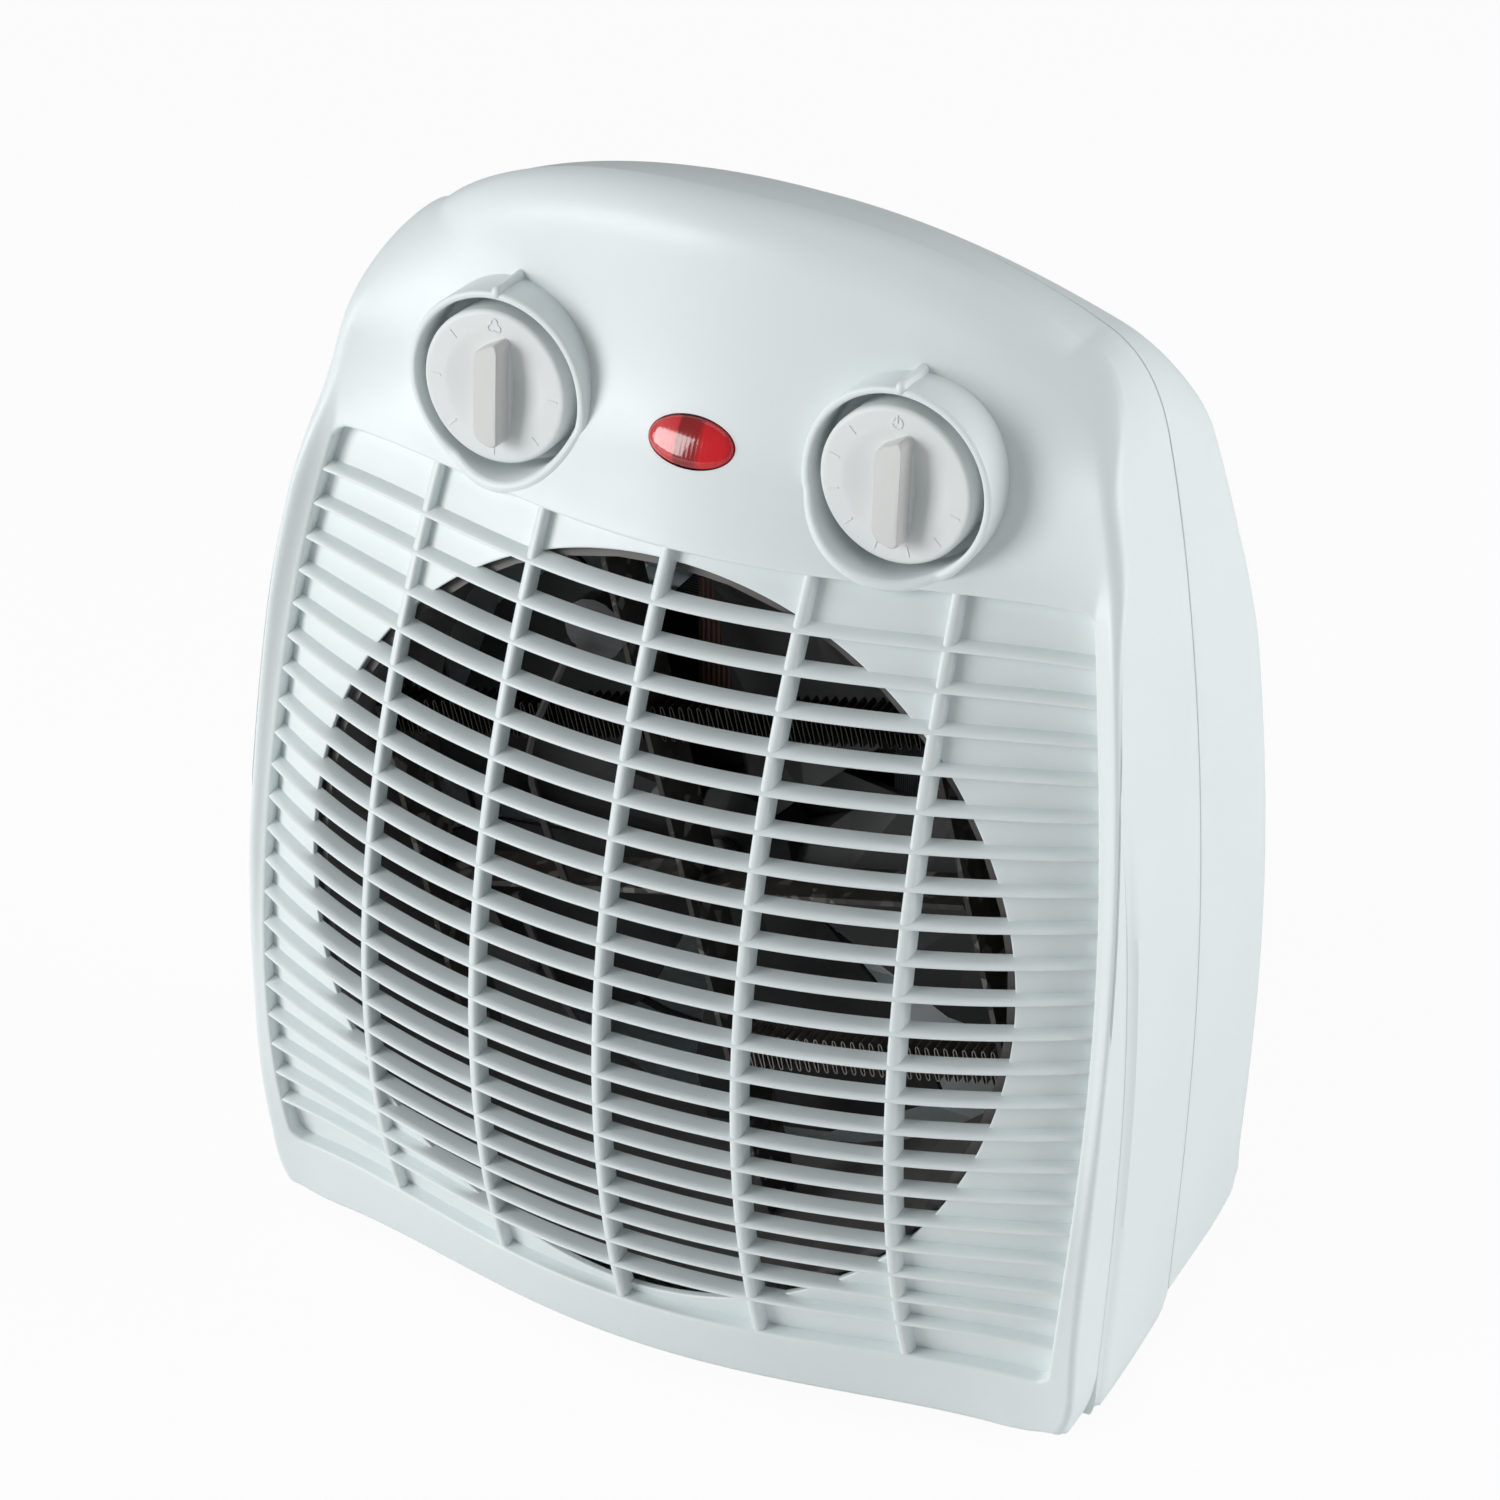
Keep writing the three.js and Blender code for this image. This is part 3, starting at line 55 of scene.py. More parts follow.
# The sides' swell in front: at the foot, what it gains by mid height, and what it loses above
SIDE_SWELL, SIDE_GAIN, SIDE_LOSS = 0.6, 2.4, 0.6
SIDE_GAINS, SIDE_LOSES = (20, 160), (172, 225)
GROOVE_DEPTH, GROOVE_FADES, RIM_PROUD = 1.2, (155, 120), 0.8
BACK_Y, BACK_RADIUS = 117.5, 8.0
BACK_LEAN_Z, BACK_LEAN, BACK_EASE = 150.0, 0.26, 14
TOP_FALL, TOP_FALLS = 0.5, (205, 243)
REAR_BELLY, BELLY_Z, BELLY_HALF = 1.6, 95, 85
REAR_RISE, REAR_CURL, CURL_START = 0.06, 0.012, 97
PAD_X, PAD_Y, PAD_Z, PAD_TALL = 94.0, 112.4, 15.5, 19.0
SCREWS = [(-80, 27), (80, 27), (-78, 197), (78, 197)]
WELL_DEPTH, WELL_R = 8.0, 4.0
FOOT_X, FOOT_REAR, LEG_R = 78.0, 94.0, 9.0
INTAKE_R, INTAKE_PITCH, SLAT_HALF, HOOD_DEPTH = 64.0, 8.5, 2.05, 5.4
INTAKE_IN, SLAT_REACH, UPRIGHT_REACH, UPRIGHT_HALF = 107.0, 59.6, 59.4, 3.0
INLET_X, INLET_Z, INLET_R = 62.0, 36.0, 6.3

# Front face
FACE_SPAN, FACE_Z, FACE_FRONT = 83.33, 105.0, 1.6
# How the face leans, bows and flares: factors of rising powers of the height
LEAN, BOW, FLARE = (11.55, 18), (17.9, 4.03, 7.06, -3.31), (2.22, -0.78, -11.9)
PANEL_BEND, PANEL_FADE = 205.0, 13.3
CORNER_ROLL, ROLL_Z, ROLL_REACH, ROLL_HALF = 0.025, 208.0, 26.0, 80.0
TUCK_MIDDLE, TUCK_SIDES = 0.31, 0.09
BAND_EASE, BAND_RISE = 1.3, 0.8
# Heights between which the band's forward part grows, and between which it fades again
BAND_GROWS, BAND_FADES = (50, 100), (175, 205)

# Outlet and louvres
OUTLET_Z, OUTLET_R = 104.1, 82.2
FIELD_HALF, FIELD_NARROWS, FIELD_WIDEST_Z, FIELD_TALL = 97.3, 9.2, 86, 94
LOUVRES, LOUVRE_PITCH, LOUVRE_TOP, LOUVRE_HALF = 21, 7.5, 180.0, 0.75
BARS, BAR_HALF, BARS_FOOT, BARS_TALL = 5, 1.2, 30, 150
# The inner and outer bars' distance from the middle at the foot, and what it loses by the top
BAR_INNER, BAR_OUTER = (31.2, 0.9), (62.2, 2.7)
FRAME_TOP, FRAME_BOTTOM, FRAME_CORNER = 189.7, 19.6, 3.2
RIB_SET_BACK, RIB_DEPTH, BAR_SET_BACK = 0.3, 5.2, 0.55
PANEL_FRONT, PANEL_BACK, FRAME_DEPTH = 3.8, 5.4, 5.6

# Dials and lamp
DIAL_X, DIAL_Z, DIAL_Y, DIAL_TILT = 45.0, 209.75, 43.35, math.radians(3.7)
DIAL_R, DIAL_PROUD, DIAL_BACK, DIAL_ROUND = 16.5, 0.3, 8.0, 1.1
HOLLOW_REACH, HOLLOW_SLOPE, HOLLOW_DEPTH, DIAL_FLAT = 11.6, 9.0, 2.1, 14.9
COLLAR_IN, COLLAR_OUT, COLLAR_FLOOR, COLLAR_SPREAD = 18.75, 20.4, 9.5, 1.2
# The grip's outline on the dial, as pairs across and up: its upper left corner is cut off
GRIP_OUTLINE = [(3.6, -10.4), (3.6, 10.4), (2.6, 11.5), (-3.6, 8), (-3.6, -9), (-2.2, -11), (1.8, -11.4)]
GRIP_LOW, GRIP_HIGH, GRIP_ROUND, GRIP_SOFT = 2.6, 5.2, 2.2, 0.75
TICK_IN, TICK_OUT, SIGN_UP = 12.6, 14.6, 13.3
LAMP_Z, LAMP_Y, LAMP_TILT = 208.4, 43.2, math.radians(28)
LAMP_W, LAMP_H = 9.4, 5.15

# Inside
ELEMENT_TURN = math.radians(14)
RIBBON_FOLDS, RIBBON_SWING, RIBBON_HALF, RIBBON_LEVEL = 58, 4.2, 0.11, 38.8
RIBBON_START, RIBBON_END, RIBBON_FRONT, RIBBON_BACK = 1.2, 65.4, 41.6, 48.4

# The photograph's camera
CAMERA_PLACE, CAMERA_TARGET = (394.4, -732.4, 631.9), (35.4, -57.9, 169.6)
SENSOR, LENS = 36.0, 111.67


# Meshes
def to_frame(points):
    points = np.asarray(points, float).copy()
    points[..., 1] -= HALF_DEPTH
    return points * MM


def mesh_object(name, points, faces, sharp=35):
    data = bpy.data.meshes.new(name)
    data.from_pydata(to_frame(points).tolist(), [], faces)
    data.validate()
    data.update()
    obj = bpy.data.objects.new(name, data)
    bpy.context.scene.collection.objects.link(obj)
    shade(obj, sharp)
    return obj


def shade(obj, sharp=35):
    obj.data.shade_smooth()
    obj.data.set_sharp_from_angle(angle=math.radians(sharp))


def grid_faces(rows, count, looped):
    """Quads between rings of count points. When looped, the last ring joins the first."""
    faces = []
    bands = rows if looped else rows - 1
    for i in range(bands):
        a = i * count
        b = ((i + 1) % rows) * count
        for j in range(count):
            k = (j + 1) % count
            faces.append((a + j, a + k, b + k, b + j))
    return faces


def ring_object(name, rings, looped=False, caps=False, sharp=35, flip=False):
    """A skin over rings; flip is for rings whose order would leave its faces pointing in."""
    rings = [np.asarray(r, float) for r in rings]
    count = len(rings[0])
    faces = grid_faces(len(rings), count, looped)
    if caps:
        faces.append(tuple(reversed(range(count))))
        faces.append(tuple(range((len(rings) - 1) * count, len(rings) * count)))
    if flip:
        faces = [tuple(reversed(f)) for f in faces]
    return mesh_object(name, np.vstack(rings), faces, sharp)


def join_objects(name, objects):
    """One mesh out of several."""
    whole = bmesh.new()
    for obj in objects:
        whole.from_mesh(obj.data)
    data = bpy.data.meshes.new(name)
    whole.to_mesh(data)
    whole.free()
    for obj in objects:
        bpy.data.objects.remove(obj)
    joined = bpy.data.objects.new(name, data)
    bpy.context.scene.collection.objects.link(joined)
    return joined


def carve(obj, cutters):
    """Cuts the cutters out of a closed object and applies the result."""
    tool = join_objects("cutters", cutters)
    mod = obj.modifiers.new("cut", "BOOLEAN")
    mod.operation = "DIFFERENCE"
    mod.solver = "EXACT"
    mod.object = tool
    bpy.context.view_layer.update()
    deps = bpy.context.evaluated_depsgraph_get()
    data = bpy.data.meshes.new_from_object(obj.evaluated_get(deps))
    obj.modifiers.remove(mod)
    obj.data = data
    bpy.data.objects.remove(tool)
    shade(obj)
    return obj


def circle(radius, count, y=0.0, half_z=None):
    turn = np.linspace(0, 2 * math.pi, count, endpoint=False)
    up = radius if half_z is None else half_z
    return np.stack([radius * np.cos(turn), np.full(count, y), up * np.sin(turn)], 1)


def turned_rings(profile, count):
    return [circle(radius, count, y) for radius, y in profile]


def tilted(points, tilt, x, y, z):
    """Turns a shape drawn round the y axis so that its front looks up by tilt, and places it."""
    p = np.asarray(points, float)
    c, s = math.cos(-tilt), math.sin(-tilt)
    out = np.empty_like(p)
    out[..., 0] = p[..., 0] + x
    out[..., 1] = p[..., 1] * c - p[..., 2] * s + y
    out[..., 2] = p[..., 1] * s + p[..., 2] * c + z
    return out


def at_dial(points, side):
    return tilted(points, DIAL_TILT, side * DIAL_X, DIAL_Y, DIAL_Z)


def at_lamp(points):
    return tilted(points, LAMP_TILT, 0, LAMP_Y, LAMP_Z)


def rounded(radius, steps, corner_r, corner_y, start, end):
    """Points of a rounded edge in a turned profile, from one angle to another in degrees."""
    turns = np.radians(np.linspace(start, end, steps))
    return [(corner_r + radius * math.cos(t), corner_y + radius * math.sin(t)) for t in turns]


def rod(x, z, radius, y0, y1):
    rings = [circle(radius, 40, y) + [x, 0, z] for y in (y0, y1)]
    return ring_object("cutter", rings, caps=True, flip=True)


def soft_box(name, x0, x1, y0, y1, z0, z1, radius):
    """A bar with rounded edges."""
    whole = bmesh.new()
    bmesh.ops.create_cube(whole, size=1.0)
    low = to_frame([x0, y0, z0])
    high = to_frame([x1, y1, z1])
    for v in whole.verts:
        for axis in range(3):
            v.co[axis] = low[axis] if v.co[axis] < 0 else high[axis]
    bmesh.ops.bevel(
        whole, geom=whole.edges[:], offset=radius * MM, segments=3, profile=0.5, affect="EDGES"
    )
    data = bpy.data.meshes.new(name)
    whole.to_mesh(data)
    whole.free()
    obj = bpy.data.objects.new(name, data)
    bpy.context.scene.collection.objects.link(obj)
    shade(obj)
    return obj


# Casing surfaces
def share_between(value, low, high):
    return np.clip((np.asarray(value, float) - low) / (high - low), 0, 1)


def smooth_step(value, low, high):
    t = share_between(value, low, high)
    return t * t * (3 - 2 * t)


def face_depth(x, z):
    """Depth of the front face: a shallow bowl that leans back, more upright above the dials."""
    x = np.asarray(x, float)
    z = np.asarray(z, float)
    across = x / FACE_SPAN
    bend = PANEL_BEND - PANEL_FADE * (1 - np.exp(-((across / 0.72) ** 4)))
    height = np.maximum(z, FRAME_BOTTOM)
    above = bend + PANEL_FADE * (1 - np.exp(np.minimum(0, bend - z) / PANEL_FADE))
    level = np.where(height < bend, height, above)
    up = (level - FACE_Z) / FACE_SPAN
    lean = LEAN[0] * up + LEAN[1] * up**2
    bow = BOW[0] + BOW[1] * up + BOW[2] * up**2 + BOW[3] * up**3
    flare = FLARE[0] + FLARE[1] * up + FLARE[2] * up**2
    tuck = (height - z) * (TUCK_MIDDLE + (TUCK_SIDES - TUCK_MIDDLE) * np.minimum(1, across**2))
    rise = np.clip(z - ROLL_Z, 0, ROLL_REACH)
    roll = CORNER_ROLL * rise**2 * np.minimum(1.2, (x / ROLL_HALF) ** 4)
    return FACE_FRONT + lean + bow * across**2 + flare * across**4 + tuck + roll


def frame_half_width(z):
    return FIELD_HALF - FIELD_NARROWS * ((np.asarray(z, float) - FIELD_WIDEST_Z) / FIELD_TALL) ** 2


def band_depth(x, z):
    """Depth outside the louvred field, where the band lies flatter than the bowl."""
    half = frame_half_width(np.clip(z, FRAME_BOTTOM, FRAME_TOP))
    past = np.maximum(0, np.abs(x) - half)
    forward = smooth_step(z, *BAND_GROWS) * (1 - smooth_step(z, *BAND_FADES))
    eased = half + BAND_EASE * (1 - np.exp(-past / BAND_EASE))
    flatter = face_depth(eased, z) - BAND_RISE * forward * past**2 / (past + 1.5)
    return np.where(past > 0, flatter, face_depth(x, z))


def seam_depth(z):
    return SEAM_FOOT + SEAM_LEAN * z


def bezier(a, b, c, d):
    t = np.linspace(0, 1, 80)[:, None]
    a, b, c, d = (np.array(p, float) for p in (a, b, c, d))
    return (1 - t) ** 3 * a + 3 * (1 - t) ** 2 * t * b + 3 * (1 - t) * t**2 * c + t**3 * d


def outline():
    """Right half of the casing's outline at the seam, from top to bottom."""
    w = HALF_WIDTH
    low = BODY_BOTTOM
    lines = [
        bezier((0, 248), (28, 248), (54, 241.5), (72, 232.6)),
        bezier((72, 232.6), (79, 229), (83.3, 222), (85.6, 212)),
        bezier((85.6, 212), (91.5, 188), (w, 135), (w, 76)),
        bezier((w, 76), (w, 50), (98.6, 25), (98, 12)),
        bezier((98, 12), (98, 6.8), (97.17, low), (95.5, low)),
        np.array([(95.5, low), (45, low), (0, low)], float),
    ]
    return np.vstack(lines)


def frame_line():
    """Right half of the louvred field's edge, with small rounded corners."""
    r = FRAME_CORNER
    points = [(0, FRAME_TOP), (40, FRAME_TOP)]
    for t in np.radians(np.linspace(90, 0, 12)):
        z = FRAME_TOP - r * (1 - math.sin(t))
        points.append((float(frame_half_width(z)) - r * (1 - math.cos(t)), z))
    for z in np.linspace(FRAME_TOP - r, FRAME_BOTTOM + r, 90)[1:-1]:
        points.append((float(frame_half_width(z)), z))
    for t in np.radians(np.linspace(0, -90, 12)):
        z = FRAME_BOTTOM + r * (1 + math.sin(t))
        points.append((float(frame_half_width(z)) - r * (1 - math.cos(t)), z))
    points += [(40, FRAME_BOTTOM), (0, FRAME_BOTTOM)]
    return np.array(points, float)


def straight_reach(angle, line):
    """Reach along rays from the outlet's middle to a polyline, exact between its points."""
    angles = np.arctan2(line[:, 1] - OUTLET_Z, line[:, 0])
    order = np.argsort(angles)
    pts = line[order]
    i = np.clip(np.searchsorted(angles[order], angle, side="right") - 1, 0, len(pts) - 2)
    a, b = pts[i], pts[i + 1]
    ca, sa = np.cos(angle), np.sin(angle)
    da = ca * (a[:, 1] - OUTLET_Z) - sa * a[:, 0]
    db = ca * (b[:, 1] - OUTLET_Z) - sa * b[:, 0]
    level = np.abs(da - db) < 1e-9
    t = np.where(level, 0, da / np.where(level, 1, da - db))
    t = np.clip(t, 0, 1)[:, None]
    p = a + (b - a) * t
    return np.hypot(p[:, 0], p[:, 1] - OUTLET_Z)


def spoke_angles():
    """Even spokes, with more of them at the corners of the casing and of the louvred field."""
    right = list(np.linspace(-90, 90, 181))
    corners = [(72, 232.6), (84, 219), (98, 12), (97, 5.5), (95.5, BODY_BOTTOM)]
    corners += [(float(frame_half_width(z)) - 1, z) for z in (FRAME_TOP, FRAME_BOTTOM)]
    for x, z in corners:
        middle = math.degrees(math.atan2(z - OUTLET_Z, x))
        right += list(np.linspace(middle - 3, middle + 3, 25))
    right = np.unique(np.round(np.clip(right, -90, 90), 2))
    left = 180 - right[1:-1]
    return np.radians(np.concatenate([right, left[::-1]]))


ANGLES = spoke_angles()
COS, SIN = np.cos(ANGLES), np.sin(ANGLES)
RIGHT = np.arctan2(SIN, np.abs(COS))
REACH = straight_reach(RIGHT, outline())
FRAME = straight_reach(RIGHT, frame_line())
EDGE_X, EDGE_Z = REACH * COS, OUTLET_Z + REACH * SIN
SEAM = seam_depth(EDGE_Z)
GROOVE_SHARE = share_between(EDGE_Z, *GROOVE_FADES)


def blend_top(top, side):
    """Passes smoothly from the side walls' value to the top's over the corner."""
    return side + (top - side) * smooth_step(EDGE_Z, CORNER_TOP - 6, CORNER_TOP + 6)


SIDE_STANDS = SIDE_SWELL + SIDE_GAIN * share_between(EDGE_Z, *SIDE_GAINS)
SWELL = blend_top(
    np.maximum(CORNER_SWELL, CROWN * (1 - (EDGE_X / CROWN_HALF) ** 4)),
    SIDE_STANDS - SIDE_LOSS * smooth_step(EDGE_Z, *SIDE_LOSES),
)
# The rounded edge between face and side wall: wide over the top, narrow down the sides
RADIUS = blend_top(5 + 5.5 * (1 - (EDGE_X / 86) ** 2), 2 + 3 * share_between(EDGE_Z, 150, CORNER_TOP))


def swell_share(y):
    """The share of the swell left at a depth: it ends at the seam."""
    top = 1 - np.maximum(0, (y - CROWN_Y) / (SEAM_Y - CROWN_Y)) ** 2
    return blend_top(top, 1 - share_between(y, SWELL_START, SEAM_Y) ** 2)


def plate_reach():
    """The front plate's lower corners are rounder than those of the wall behind it."""
    away = (np.abs(EDGE_X) - 96) ** 2 + (EDGE_Z - 5) ** 2
    return REACH + SWELL - PLATE_CORNER * np.exp(-away / 40)


PLATE = plate_reach()


def xz(reach):
    return reach * COS, OUTLET_Z + reach * SIN


def stack(x, y, z):
    return np.stack([x, np.broadcast_to(y, x.shape), z], 1)


def face_ring(reach, setback=0.0):
    x, z = xz(reach)
    return stack(x, band_depth(x, z) + setback, z)


def edge_ring(turn):
    """A ring of the rounded edge: turn runs from 0 on the face to 1 on the side wall."""
    inward = RADIUS * (1 - math.sin(turn * math.pi / 2))
    backward = RADIUS * (1 - math.cos(turn * math.pi / 2))
    x, z = xz(PLATE - inward)
    z = np.maximum(z, PLATE_BOTTOM + inward * 0.6)
    return stack(x, band_depth(x, z) + backward, z)


def lower_edge(y):
    """Underside of the front cover: the plate hangs lowest, and the wall rises before the seam."""
    rise = (SEAM_BOTTOM - BODY_BOTTOM) * share_between(y, 70, SEAM_Y) ** 2
    return np.where(y < PLATE_BACK, PLATE_BOTTOM, BODY_BOTTOM + rise)


def groove_depth(y):
    """Steep behind the plate's edge, then rounded up to the rim of the wall."""
    bottom = PLATE_BACK + 0.7
    shape = np.where(y < bottom, (y - PLATE_BACK) / 0.7, 1 - (y - bottom) / 3.4)
    return (GROOVE_DEPTH + RIM_PROUD) * GROOVE_SHARE * np.clip(shape, 0, 1) ** 0.8


def wall_ring(y, inset=0.0):
    """A ring of the side wall; depths are given as if the seam stood upright at SEAM_Y."""
    stretch = (SEAM - CROWN_Y) / (SEAM_Y - CROWN_Y)
    edge = edge_ring(1)[:, 1] + FRAME_DEPTH * (inset / WALL)
    start = np.where(edge < CROWN_Y, edge, CROWN_Y + (edge - CROWN_Y) / stretch)
    y = np.maximum(y, start + (SEAM_Y - start) * 0.1 * ((y - 36) / 40))
    share = swell_share(y)
    behind_plate = y > PLATE_BACK
    groove = np.where((inset < WALL) & behind_plate, groove_depth(y), 0)
    rim = np.where(behind_plate, RIM_PROUD * GROOVE_SHARE * share, 0)
    reach = np.where(behind_plate, REACH + SWELL * share + rim - groove, PLATE)
    x, z = xz(reach - inset)
    low = lower_edge(y) + inset
    drop = np.where((z < 12) & ~behind_plate,
                    (BODY_BOTTOM - PLATE_BOTTOM) * np.minimum(1, (12 - z) / 7), 0)
    depth = np.where(y < CROWN_Y, y, CROWN_Y + (y - CROWN_Y) * stretch)
    return stack(x, depth, np.maximum(z - drop, low))


def inside_ring(reach, thickness):
    """A ring of the front wall's inside, with the rounding of the edge in front of it."""
    inward = PLATE - WALL - reach
    into = np.maximum(0, RADIUS - inward)
    x, z = xz(reach)
    z = np.maximum(z, PLATE_BOTTOM + WALL)
    rounding = RADIUS - np.sqrt(np.maximum(0, RADIUS**2 - into**2))
    return stack(x, band_depth(x, z) + thickness + rounding, z)


def inside_rings():
    """Inner rings from the side wall to the field's frame, which stays thick where it is narrow."""
    wall = PLATE - WALL
    near = np.minimum(1.8, (wall - FRAME) * 0.6)
    thick = np.where(wall - FRAME < 8, FRAME_DEPTH, WALL)
    rings = [inside_ring(wall, thick)]
    for share in (1, 0.75, 0.5, 0.25, 0):
        outer = wall - np.minimum(RADIUS, (wall - FRAME) * 0.2)
        reach = FRAME + near + (outer - FRAME - near) * share
        rings.append(inside_ring(reach, thick))
    rings.append(inside_ring(FRAME + near * 0.9, FRAME_DEPTH))
    rings.append(inside_ring(FRAME, FRAME_DEPTH))
    return rings


def front_shell():
    """The moulded front cover: face, rounded edge, side walls with their groove, and inside."""
    band = PLATE - RADIUS - FRAME
    lip = np.minimum(0.9, 0.45 * band)
    rings = []
    for t in np.linspace(0, math.pi / 2, 6):
        rings.append(face_ring(FRAME + lip * (1 - math.cos(t)), lip * (1 - math.sin(t))))
    for share in np.linspace(0, 1, 22)[1:-1]:
        rings.append(face_ring(FRAME + lip + (band - lip) * share))
    for turn in np.linspace(0, 1, 9):
        rings.append(edge_ring(turn))
    groove = [PLATE_BACK, 37.55, 37.8, 38.1, 38.6, 39.2, 39.9, 40.6, 41.5]
    depths = [30, 34, 36.5, *groove, 44, 48, 52, 56, CROWN_Y]
    for y in depths + list(np.linspace(61.5, SEAM_Y - 0.5, 10)):
        rings.append(wall_ring(y))
    rings.append(wall_ring(SEAM_Y - 0.2, 0.05))
    rings.append(wall_ring(SEAM_Y, 0.25))
    rings.append(wall_ring(SEAM_Y, WALL))
    rings.append(wall_ring(66, WALL))
    rings += inside_rings()
    return ring_object("front_shell", rings, looped=True, sharp=40, flip=True)


def dial_rod(side, radius, y0, y1):
    rings = [at_dial(circle(radius, 96, y), side) for y in (y0, y1)]
    return ring_object("cutter", rings, caps=True, flip=True)


def lamp_rod(half_w, half_h, y0, y1):
    rings = [at_lamp(circle(half_w, 72, y, half_h)) for y in (y0, y1)]
    return ring_object("cutter", rings, caps=True, flip=True)


def face_beside_rim(side, turn, radius):
    """How deep the face lies behind a collar's rim; less than 0 where it comes in front."""
    x = side * DIAL_X + radius * np.cos(turn)
    up = radius * np.sin(turn)
    face = face_depth(x, DIAL_Z + up * math.cos(DIAL_TILT))
    return face - DIAL_Y - up * math.sin(DIAL_TILT)


def collar(side):
    """A round collar: it stands out of the face above, and below it is a soft edge in the face."""
    inner = COLLAR_IN + 0.05
    count = 144
    turn = np.linspace(0, 2 * math.pi, count, endpoint=False)
    beside = face_beside_rim(side, turn, COLLAR_OUT)
    sunk = 1 - smooth_step(beside, -1.0, 4.5)
    front = np.minimum(0, beside - 0.25)
    outer = COLLAR_OUT + COLLAR_SPREAD * sunk
    outer_round = 0.75 + 0.9 * sunk
    inner_round = np.minimum(0.6 + 0.9 * sunk, outer - outer_round - inner)
    inner_round = np.maximum(0.5, inner_round)

    def ring(radius, y):
        return at_dial(stack(radius * np.cos(turn), y, radius * np.sin(turn)), side)

    back = COLLAR_FLOOR + 2
    rings = [ring(outer, back), ring(outer, 6), ring(outer, front + outer_round + 0.6)]
    for t in np.radians(np.linspace(0, -90, 8)):
        rings.append(ring(outer - outer_round * (1 - math.cos(t)), front + outer_round * (1 + math.sin(t))))
    for t in np.radians(np.linspace(-90, -180, 8)):
        rings.append(ring(inner + inner_round * (1 + math.cos(t)), front + inner_round * (1 + math.sin(t))))
    rings += [ring(inner, 4), ring(inner, COLLAR_FLOOR - 0.5)]
    for radius, y in rounded(0.5, 4, inner - 0.5, COLLAR_FLOOR - 0.5, 0, 90):
        rings.append(ring(radius, y))
    rings += [ring(10, COLLAR_FLOOR), ring(3.6, COLLAR_FLOOR), ring(3.6, back)]
    return ring_object("collar", rings, looped=True, sharp=40)


def pointer_rib(side):
    """The mark on top of a collar: a low round-backed rib from the rim to the face."""
    stations = [(-0.35, 0.05), (-0.3, 0.5), (0, 0.9), (0.5, 1.1), (1.2, 1.1), (2, 0.95), (3, 0.9)]
    stations += [(9, 1.15), (13, 1.35), (13.8, 1.2), (14.2, 0.7), (14.3, 0.05)]
    turn = np.linspace(0, 2 * math.pi, 24, endpoint=False)
    rings = []
    for y, size in stations:
        level = COLLAR_OUT - 0.1 + 1.25 * size * np.sin(turn) + 0.03 * y
        rings.append(at_dial(stack(size * np.cos(turn), y, level), side))
    return ring_object("pointer", rings, caps=True, sharp=50, flip=True)


def bead(half, front, back, radius, reach):
    """A flat bar's section: rounded at the front, square at the back, as (across, set-back)."""
    pts = []
    for t in np.radians(np.linspace(0, 90, 9)):
        pts.append((half - radius * (1 - math.cos(t)), front + reach * (1 - math.sin(t))))
    for t in np.radians(np.linspace(90, 180, 9)):
        pts.append((-half + radius * (1 + math.cos(t)), front + reach * (1 - math.sin(t))))
    pts = [(half, back)] + pts + [(-half, back)]
    return np.array(pts)


def louvre(index):
    z = LOUVRE_TOP - index * LOUVRE_PITCH
    half = float(frame_half_width(z)) + 0.5
    section = bead(LOUVRE_HALF, RIB_SET_BACK, RIB_DEPTH, 0.7, 1.9)

    def profile(x):
        level = z + section[:, 0]
        xs = np.full(len(section), x)
        return np.stack([xs, face_depth(xs, level) + section[:, 1], level], 1)

    rings = [profile(x) for x in np.linspace(-half, half, 97)]
    return ring_object("louvre", rings, caps=True, sharp=40)


def bar_centre(index, z):
    up = np.maximum(0, (z - BARS_FOOT) / BARS_TALL)
    inner = BAR_INNER[0] - BAR_INNER[1] * up
    outer = BAR_OUTER[0] - BAR_OUTER[1] * up**2.5
    return (-outer, -inner, 0, inner, outer)[index]


def bar(index):
    section = bead(BAR_HALF, BAR_SET_BACK, RIB_DEPTH, 1.1, 1.3)

    def profile(z):
        xs = float(bar_centre(index, z)) + section[:, 0]
        zs = np.full(len(section), z)
        return np.stack([xs, face_depth(xs, zs) + section[:, 1], zs], 1)

    rings = [profile(z) for z in np.linspace(FRAME_TOP + 0.5, FRAME_BOTTOM - 0.5, 110)]
    return ring_object("bar", rings, caps=True, sharp=40)


def outlet_panel():
    """The closed panel behind the louvres, with its round opening and a rounded edge there."""
    outer = FRAME + 0.5
    soft = 0.5
    rings = []
    for t in np.linspace(0, math.pi / 2, 5):
        reach = OUTLET_R + soft * (1 - math.cos(t))
        rings.append(face_ring(reach, PANEL_FRONT + soft * (1 - math.sin(t))))
    for share in np.linspace(0, 1, 12)[1:]:
        rings.append(face_ring(OUTLET_R + soft + (outer - OUTLET_R - soft) * share, PANEL_FRONT))
    rings.append(face_ring(outer, PANEL_BACK))
    rings.append(face_ring(OUTLET_R, PANEL_BACK))
    return ring_object("outlet_panel", rings, looped=True, sharp=40, flip=True)


# Rear cover
def back_depth(z):
    over = np.maximum(0, np.asarray(z, float) - BACK_LEAN_Z)
    return BACK_Y - BACK_LEAN * over * over / (over + BACK_EASE)


def rear_underside(y):
    rise = REAR_RISE * np.maximum(0, y - SEAM_Y)
    return SEAM_BOTTOM + rise + REAR_CURL * np.maximum(0, y - CURL_START) ** 2


